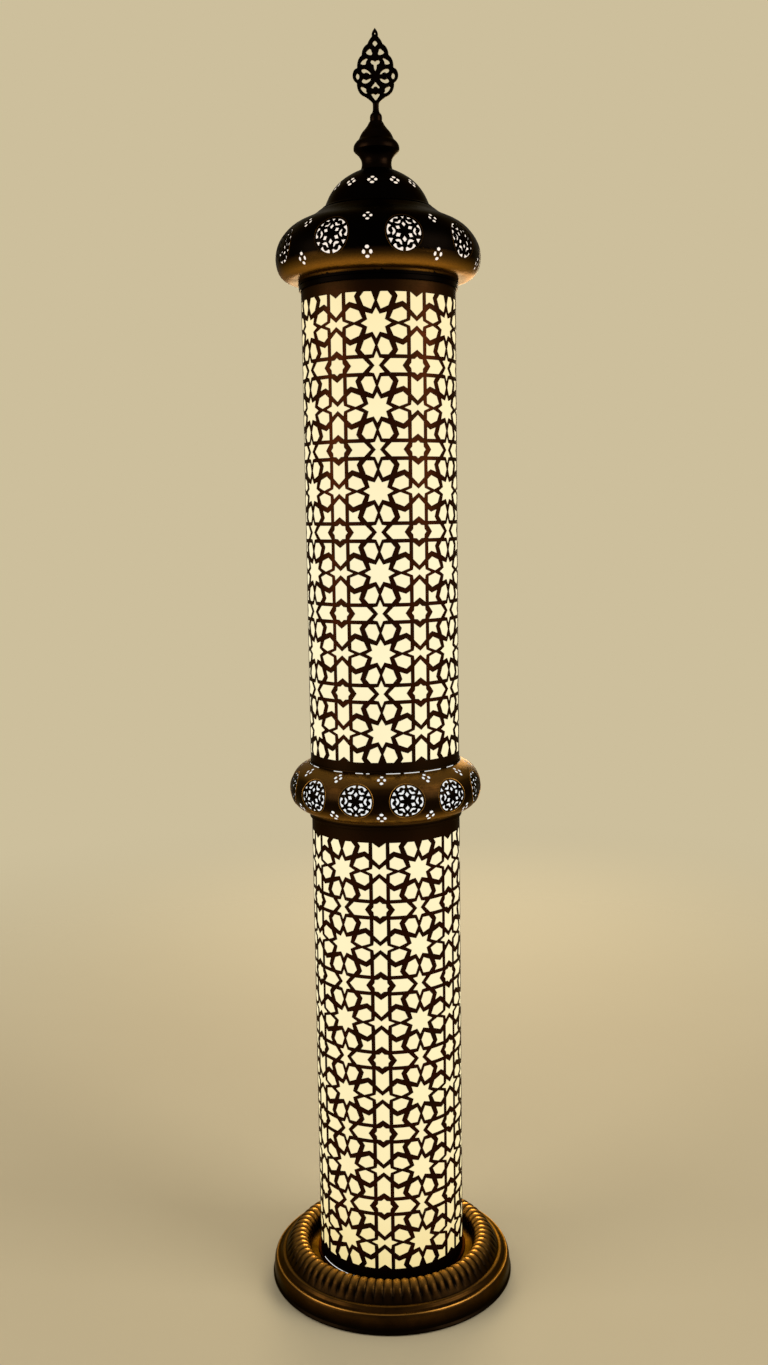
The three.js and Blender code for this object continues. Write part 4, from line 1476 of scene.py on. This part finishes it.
    def build(self, shop: Workshop) -> None:
        """Make the leaf and its stem."""
        # The leaf and its stem carry the brass darkened as painted shade
        shop.finish("pierced_leaf", self.plate(), SHADED_BRASS, Body.FINIAL, ["finial_leaf"])
        shop.finish("leaf_stem", self.stem(), SHADED_BRASS, Body.FINIAL, ["finial_stem"])


@dataclass(frozen=True)
class Base:
    """The round base: a spun cover with a stepped shoulder, a gadrooned ring and the tube's seat."""

    edge: float = 151.0
    plinth: float = 149.2
    shoulder: float = 146.0
    ledge: float = 137.5
    sheet: float = 2.0
    rim_height: float = 2.3
    bore: float = 6.8
    flutes: int = 72
    flute_inner: float = 102.0
    flute_outer: float = 135.0
    flute_depth: float = 1.8
    flute_crown: float = 19.2
    flute_section: tuple[Point, ...] = (
        (0.0, 0.0), (0.06, 0.55), (0.2, 0.89), (0.42, 1.0), (0.74, 0.72), (1.0, 0.0),
    )
    # Painted shade on the recessed floor round the tube's foot, within this radius
    floor_radius: float = 106.0
    floor_painted_shade: float = 0.15
    seat_radius: float = 93.4
    seat_thickness: float = 2.0
    spigot: float = 85.1
    spigot_wall: float = 2.0
    light_gap: tuple[float, float] = (-68.0, -24.0)
    light_radii: tuple[float, float] = (90.05, 90.6)
    light_heights: tuple[float, float] = (0.6, 1.0)
    # Painted shade, darker towards the floor
    painted_shade: tuple[Point, ...] = ((1.2, 1.0), (8.0, 1.0), (14.0, 0.75), (21.0, 0.35), (30.0, 0.5))

    def cover(self) -> bmesh.types.BMesh:
        """Return the spun cover."""
        span = Span.of("base_cover")
        foot, floor = span.foot, span.top
        bead_top = foot + self.rim_height
        step = floor - 5.2
        outline = [
            (self.edge - 0.5, foot), (self.edge, foot + 0.6), (self.edge, bead_top - 0.4),
            *smooth_run(((self.edge, bead_top - 0.4), (150.2, bead_top + 0.6), (self.plinth, 5.4)), 3),
            *smooth_run((
                (self.plinth, 6.2), (self.plinth, 14.0), (149.0, 17.6), (148.3, 20.8),
                (147.3, 23.2), (self.shoulder, step),
            ), 3),
            *smooth_run((
                (144.6, step + 0.1), (142.6, step + 0.5), (141.0, step + 1.7), (140.0, step + 3.2),
                (139.2, floor - 0.9),
            ), 3),
            (self.ledge, floor - 0.3), (self.ledge - 2.0, floor), (self.flute_inner, floor),
            (self.seat_radius, floor), (self.bore, floor), (self.bore, floor - self.sheet),
            (self.ledge - 4.0, floor - self.sheet), (self.shoulder - 2.0, step - 2.0),
            (self.plinth - 2.0, 14.0), (self.plinth - 2.0, foot),
        ]
        shape = turned(outline, 144)
        # Painted highlights along the shoulder's and the ledge's edges
        self.paint_edge_highlight(shape, self.shoulder + 0.2, step - 0.3, 1.0, 0.6)
        self.paint_edge_highlight(shape, self.ledge + 0.6, floor - 0.5, 1.1, 0.5)
        # Painted shade, darker towards the floor and on the recessed floor
        shade_by_height(shape, "patina_and_shade", self.painted_shade)
        patina_and_shade = shape.verts.layers.float["patina_and_shade"]
        for vert in shape.verts:
            if vert.co.xy.length < self.floor_radius:
                vert[patina_and_shade] = self.floor_painted_shade
        return shape

    def paint_edge_highlight(
        self, shape: bmesh.types.BMesh, radius: float, height: float, reach: float, most: float,
    ) -> None:
        """Paint a highlight near a turned edge, as brighter metal."""
        layers = shape.verts.layers.float
        wear_and_highlight = layers.get("wear_and_highlight") or layers.new("wear_and_highlight")
        for vert in shape.verts:
            away = math.hypot(vert.co.xy.length - radius, vert.co.z - height)
            vert[wear_and_highlight] = max(vert[wear_and_highlight], most * (1.0 - away / reach))

    def gadroons(self) -> bmesh.types.BMesh:
        """Return the fluted ring, made from one flute and its copies."""
        foot = Span.of("gadroon_ring").foot
        width = self.flute_outer - self.flute_inner
        section = smooth_run(self.flute_section, 4)
        flute = bmesh.new()
        bmesh.ops.create_grid(flute, x_segments=8, y_segments=len(section) - 1, size=0.5)
        wear_and_highlight = flute.verts.layers.float.new("wear_and_highlight")
        patina_and_shade = flute.verts.layers.float.new("patina_and_shade")
        for vert in flute.verts:
            share = vert.co.x + 0.5
            out, up = section[round((vert.co.y + 0.5) * (len(section) - 1))]
            arch = math.sin(math.pi * share) ** 0.55
            fade = min(1.0, max(0.0, 2.2 * (up - 0.12)))
            valley = self.flute_depth * (1 - arch) * fade
            radius = self.flute_inner + out * width + (0.8 - 1.6 * out) * valley
            angle = FULL_TURN * share / self.flutes
            height = foot + self.flute_crown * up - valley
            vert.co = (radius * math.sin(angle), -radius * math.cos(angle), height)
            # Crests brightened: wear on high places and painted highlight where the tube's light falls.
            # Valleys darkened with patina; the low foot and the outer slope darkened as painted shade.
            vert[wear_and_highlight] = arch ** 2 * up ** 2 * min(1.0, max(0.0, 2.0 - 2.6 * out))
            vert[patina_and_shade] = min(1.0, 1.4 * (1 - arch) * fade + max(0.0, 0.9 - 2.2 * up, 1.4 * out - 0.55))
        ring = bmesh.new()
        for number in range(self.flutes):
            stamp(ring, flute, Matrix.Rotation(FULL_TURN * number / self.flutes, 4, "Z"))
        flute.free()
        bmesh.ops.remove_doubles(ring, verts=ring.verts, dist=MERGE)
        rims = [edge for edge in ring.edges if edge.is_boundary]
        bmesh.ops.bridge_loops(ring, edges=rims)
        bmesh.ops.recalc_face_normals(ring, faces=ring.faces)
        return ring

    def seat(self) -> bmesh.types.BMesh:
        """Return the seat that centres the lower tube."""
        span = Span.of("shade_seat")
        rim_top = span.foot + self.seat_thickness
        inner = self.spigot - self.spigot_wall
        return turned([
            (self.bore, span.foot), (self.seat_radius, span.foot),
            (self.seat_radius, rim_top - 0.5), (self.seat_radius - 0.5, rim_top),
            (self.spigot, rim_top), (self.spigot, span.top - 0.6), (self.spigot - 0.6, span.top),
            (inner, span.top), (inner, rim_top), (self.bore, rim_top),
        ], 120)

    def foot_gap(self) -> bmesh.types.BMesh:
        """Return the sliver of light under the tube's foot."""
        rim_top = Span.of("shade_seat").foot + self.seat_thickness
        low, high = (rim_top + height for height in self.light_heights)
        near, far = self.light_radii
        return arc_strip([(near, low), (far, low), (far, high), (near, high)], *self.light_gap)

    def build(self, shop: Workshop) -> None:
        """Make the base's turned pieces."""
        shop.finish("spun_base_cover", self.cover(), AGED_BRASS, Body.ROOT, ["base_cover"])
        shop.finish("gadrooned_ring", self.gadroons(), AGED_BRASS, Body.ROOT, ["gadroon_ring"], 60.0)
        shop.finish("turned_shade_seat", self.seat(), OXIDISED_BRONZE, Body.ROOT, ["shade_seat"])
        shop.finish("foot_light_gap", self.foot_gap(), COOL_BULB_GLOW, Body.ROOT)


@dataclass(frozen=True)
class Spider:
    """A flange that carries the end of a tube on the column by three spokes."""

    node: str
    tube_above: bool
    lip: float
    metal: AgedMetal = OXIDISED_BRONZE
    flange: float = 2.5
    flange_radius: float = 91.4
    spigot: float = 85.1
    wall: float = 2.0
    spigot_height: float = 10.0
    lip_height: float = 5.0
    hub: float = 16.0
    bore: float = 6.8
    spokes: int = 3
    spoke_width: float = 12.0
    spoke_rounding: float = 0.5
    skirt: float = 0.0
    skirt_radii: tuple[float, float] = (90.4, 92.4)

    def shape(self) -> bmesh.types.BMesh:
        """Return the spider, drawn with the tube below and turned over where it stands above."""
        span = Span.of(self.node)
        flange_foot = span.foot + (self.lip_height if self.tube_above else self.spigot_height)
        top = flange_foot + self.flange

        def side(height: float) -> float:
            """Turn a height over where the tube stands above."""
            return flange_foot + top - height if self.tube_above else height

        inner, lip_inner = self.spigot - self.wall, self.lip - self.wall
        edge = [
            (self.flange_radius - 0.3, flange_foot), (self.flange_radius, flange_foot + 0.5),
            (self.flange_radius, top - 0.5), (self.flange_radius - 0.3, top),
        ]
        if self.skirt:
            hem = flange_foot - self.skirt
            near, far = self.skirt_radii
            edge = [
                (near, flange_foot), (near, hem), (far - 0.5, hem), (far, hem + 0.6), (far, top - 0.7),
                (far - 0.6, top - 0.1), (far - 1.2, top),
            ]
        outline = [
            (inner, flange_foot - self.spigot_height), (self.spigot, flange_foot - self.spigot_height),
            (self.spigot, flange_foot), *edge, (self.lip, top), (self.lip, top + self.lip_height),
            (lip_inner, top + self.lip_height), (lip_inner, top), (inner, top),
        ]
        shape = turned([(radius, side(height)) for radius, height in outline], 120)
        hub = turned([
            (self.bore, flange_foot), (self.hub, flange_foot), (self.hub, top), (self.bore, top),
        ], 48)
        stamp(shape, hub, Matrix.Identity(4))
        hub.free()
        start, end = self.hub - 1.0, inner + self.wall / 2
        spoke = bmesh.new()
        bmesh.ops.create_cube(spoke, size=1.0)
        bmesh.ops.scale(spoke, vec=(self.spoke_width, end - start, self.flange), verts=spoke.verts)
        middle = (0, -(start + end) / 2, (flange_foot + top) / 2)
        bmesh.ops.translate(spoke, vec=middle, verts=spoke.verts)
        sharp = [edge for edge in spoke.edges if edge.calc_face_angle() > SHARP]
        round_edges(spoke, sharp, self.spoke_rounding)
        for number in range(self.spokes):
            turn = math.pi + FULL_TURN * number / self.spokes
            stamp(shape, spoke, Matrix.Rotation(turn, 4, "Z"))
        spoke.free()
        # Painted shade over the whole spider
        shade_by_height(shape, "patina_and_shade", ((span.foot, 1.0), (span.top, 1.0)))
        return shape

    def build(self, shop: Workshop) -> None:
        """Make the spider."""
        shop.finish(f"spun_{self.node}", self.shape(), self.metal, Body.ROOT, [self.node])


@dataclass(frozen=True)
class Bulb:
    """A lit screw-in bulb: a frosted globe on a threaded metal base."""

    tube: str
    body: Body
    globe_radius: float = 29.0
    base_radius: float = 13.4
    threads: int = 7
    thread_depth: float = 0.9

    def centre_x(self) -> float:
        """Return how far the bulb stands beside the column."""
        low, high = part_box(f"{self.tube}_bulb_globe")
        return (low[0] + high[0]) / 2 / MM

    def globe(self) -> bmesh.types.BMesh:
        """Return the globe."""
        span = Span.of(f"{self.tube}_bulb_globe")
        shares = (
            (0.46, 0.0), (0.56, 0.16), (0.78, 0.34), (0.955, 0.52), (1.0, 0.665), (0.93, 0.81),
            (0.72, 0.92), (0.38, 0.985), (0.0, 1.0),
        )
        side = smooth_run([(self.globe_radius * out, span.at(up)) for out, up in shares], 3)
        return turned([(0.0, span.foot), *side], 48)

    def base(self) -> bmesh.types.BMesh:
        """Return the threaded base."""
        span = Span.of(f"{self.tube}_bulb_base")
        crest, root = self.base_radius, self.base_radius - self.thread_depth
        outline: list[Point] = [(0.0, span.foot), (4.5, span.foot), (6.0, span.at(0.06))]
        outline += [(root - 2.0, span.at(0.1)), (root, span.at(0.16))]
        for turn in range(self.threads):
            outline += [
                (crest, span.at(0.2 + 0.09 * turn)), (root, span.at(0.245 + 0.09 * turn)),
            ]
        outline += [(root, span.at(0.9)), (crest, span.at(0.93)), (crest, span.top), (0.0, span.top)]
        return turned(outline, 36)

    def build(self, shop: Workshop) -> None:
        """Make the bulb."""
        aside = (self.centre_x(), 0, 0)
        globe, base = self.globe(), self.base()
        for shape in (globe, base):
            bmesh.ops.translate(shape, vec=aside, verts=shape.verts)
        name = self.tube
        shop.finish(f"{name}_frosted_globe", globe, LIT_BULB, self.body, [f"{name}_bulb_globe"], 60.0)
        shop.finish(f"{name}_screw_base", base, PLATED_STEEL, self.body, [f"{name}_bulb_base"], 60.0)


@dataclass(frozen=True)
class Softbox:
    """A square area lamp that is aimed at the middle of the lantern."""

    name: str
    place: tuple[float, float, float]
    size: float
    watts: float
    colour: str

    def build(self, target: Vector) -> None:
        """Hang the lamp."""
        light = bpy.data.lights.new(self.name, "AREA")
        light.shape = "SQUARE"
        light.size = self.size
        light.energy = self.watts
        light.color = srgb(self.colour)[:3]
        lamp = bpy.data.objects.new(self.name, light)
        lamp.location = self.place
        lamp.visible_camera = False
        lamp.rotation_euler = (target - Vector(self.place)).to_track_quat("-Z", "Y").to_euler()
        bpy.context.collection.objects.link(lamp)


@dataclass(frozen=True)
class Studio:
    """A pale floor that fades into a pale backdrop, soft lamps and the photograph's camera."""

    camera_place: tuple[float, float, float] = (0.0, -1.609, 0.9591)
    camera_pitch: float = 7.37
    camera_roll: float = -0.0142
    lens: float = 35.45
    sensor: float = 36.0
    floor_radius: float = 2.6
    clear_radius: float = 0.45
    backdrop: str = "#cdbf9c"
    floor: tuple[str, str] = ("#d3ccb4", "#cfc7ae")
    ambient: str = "#efe6d6"
    ambient_strength: float = 0.34
    lantern_middle: float = 0.75
    softboxes: tuple[Softbox, ...] = (
        Softbox("key_softbox", (2.1, -1.1, 1.7), 1.5, 34.0, "#fff2dc"),
        Softbox("fill_softbox", (-2.2, -0.9, 1.4), 1.6, 24.0, "#fff0d8"),
        Softbox("back_softbox", (0.2, 2.3, 1.1), 1.2, 26.0, "#ffe6bc"),
    )

    def camera(self) -> None:
        """Set up the photograph's camera."""
        data = bpy.data.cameras.new("photo_camera")
        data.sensor_width = self.sensor
        data.lens = self.lens
        camera = bpy.data.objects.new("photo_camera", data)
        pitch, roll = math.radians(self.camera_pitch), self.camera_roll
        level_right = Vector((1, 0, 0))
        level_up = Vector((0, math.sin(pitch), math.cos(pitch)))
        right = math.cos(roll) * level_right + math.sin(roll) * level_up
        up = -math.sin(roll) * level_right + math.cos(roll) * level_up
        back = right.cross(up)
        turn = Matrix((right, up, back)).transposed().to_4x4()
        camera.matrix_world = Matrix.Translation(self.camera_place) @ turn
        bpy.context.collection.objects.link(camera)
        bpy.context.scene.camera = camera

    def floor_material(self) -> bpy.types.Material:
        """Return matt painted board that turns clear towards its edge, so that no horizon shows."""
        material, tree = new_material("pale_painted_board")
        where = add_node(tree, "ShaderNodeTexCoord").outputs["Object"]
        away = add_node(tree, "ShaderNodeVectorMath", {"operation": "LENGTH"}, {0: where})
        fade = add_node(tree, "ShaderNodeMapRange", {"interpolation_type": "SMOOTHSTEP"}, {
            "Value": away.outputs["Value"], "From Min": self.clear_radius,
            "From Max": self.floor_radius * 0.96,
        })
        clouds = add_node(tree, "ShaderNodeTexNoise", inputs={"Vector": where, "Scale": 3.0})
        tone = add_node(tree, "ShaderNodeMix", {"data_type": "RGBA"}, {
            "Factor": clouds.outputs[0], 6: srgb(self.floor[0]), 7: srgb(self.floor[1]),
        })
        board = add_node(tree, "ShaderNodeBsdfPrincipled", inputs={
            "Base Color": tone.outputs[2], "Roughness": 0.75, "Specular IOR Level": 0.3,
        })
        clear = add_node(tree, "ShaderNodeBsdfTransparent")
        surface = add_node(tree, "ShaderNodeMixShader", inputs={
            0: fade.outputs[0], 1: board.outputs[0], 2: clear.outputs[0],
        })
        add_node(tree, "ShaderNodeOutputMaterial", inputs={"Surface": surface.outputs[0]})
        return material

    def lay_floor(self) -> None:
        """Lay the floor."""
        shape = bmesh.new()
        bmesh.ops.create_circle(shape, cap_ends=True, segments=96, radius=self.floor_radius)
        mesh = bpy.data.meshes.new("studio_floor")
        shape.to_mesh(mesh)
        shape.free()
        mesh.materials.append(self.floor_material())
        floor = bpy.data.objects.new("studio_floor", mesh)
        bpy.context.collection.objects.link(floor)

    def light_world(self) -> None:
        """Fill the room with soft light, and show the backdrop to the camera."""
        world = bpy.data.worlds.new("studio_world")
        world.use_nodes = True
        tree = world.node_tree
        tree.nodes.clear()
        rays = add_node(tree, "ShaderNodeLightPath")
        seen = add_node(tree, "ShaderNodeMath", {"operation": "MAXIMUM"}, {
            0: rays.outputs["Is Camera Ray"], 1: rays.outputs["Is Transmission Ray"],
        })
        soft = add_node(tree, "ShaderNodeBackground", inputs={
            "Color": srgb(self.ambient), "Strength": self.ambient_strength,
        })
        pale = add_node(tree, "ShaderNodeBackground", inputs={"Color": srgb(self.backdrop)})
        surface = add_node(tree, "ShaderNodeMixShader", inputs={
            0: seen.outputs[0], 1: soft.outputs[0], 2: pale.outputs[0],
        })
        add_node(tree, "ShaderNodeOutputWorld", inputs={"Surface": surface.outputs[0]})
        bpy.context.scene.world = world

    def build(self) -> None:
        """Set the stage."""
        self.camera()
        self.lay_floor()
        self.light_world()
        for softbox in self.softboxes:
            softbox.build(Vector((0, 0, self.lantern_middle)))
        bpy.context.scene.view_settings.view_transform = "Standard"


# CAD nodes whose shape is right, by the finish that they get
DRESSED_NODES: tuple[tuple[Finish, tuple[str, ...]], ...] = (
    (FOOT_RUBBER, ("foot_1", "foot_2", "foot_3", "foot_4")),
    (CAST_IRON, ("ballast_weight",)),
    (BLACK_NYLON, ("lead_gland", "gland_nut", "riser_flex", "lower_holder", "upper_holder")),
    (PLATED_STEEL, (
        "bottom_plate", "plate_screw_1", "plate_screw_2", "plate_screw_3", "column",
        "column_washer_bottom", "column_nut_bottom", "seat_nut", "spacer_sleeve",
        "column_washer_top", "column_nut_top", "neck_nut", "lower_arm", "lower_arm_screw",
        "upper_arm", "upper_arm_screw",
    )),
)


def main(frame: dict) -> None:
    """Build the whole lamp.

    Args:
        frame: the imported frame.
    """
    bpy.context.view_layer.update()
    Studio().build()
    shop = Workshop()
    for finish, nodes in DRESSED_NODES:
        shop.dress(frame, nodes, finish)
    assemblies = (
        Base(),
        PiercedTube("lower", first_row=50.1, turn=24.5),
        PiercedTube("upper", first_row=44.3, turn=-2.0),
        Spider("lower_spider", tube_above=False, lip=88.0, skirt=1.8),
        Spider("upper_spider", tube_above=True, lip=88.0),
        # The top spider carries the brass darkened as painted shade
        Spider("top_spider", tube_above=False, lip=89.6, metal=SHADED_BRASS, skirt=3.6),
        MiddleRing(),
        Cap(),
        LeafFinial(),
        Bulb("lower", Body.LOWER_BULB),
        Bulb("upper", Body.UPPER_BULB),
    )
    for assembly in assemblies:
        assembly.build(shop)


if __name__ == "__main__":
    logging.basicConfig(level=logging.INFO)
    main(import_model())
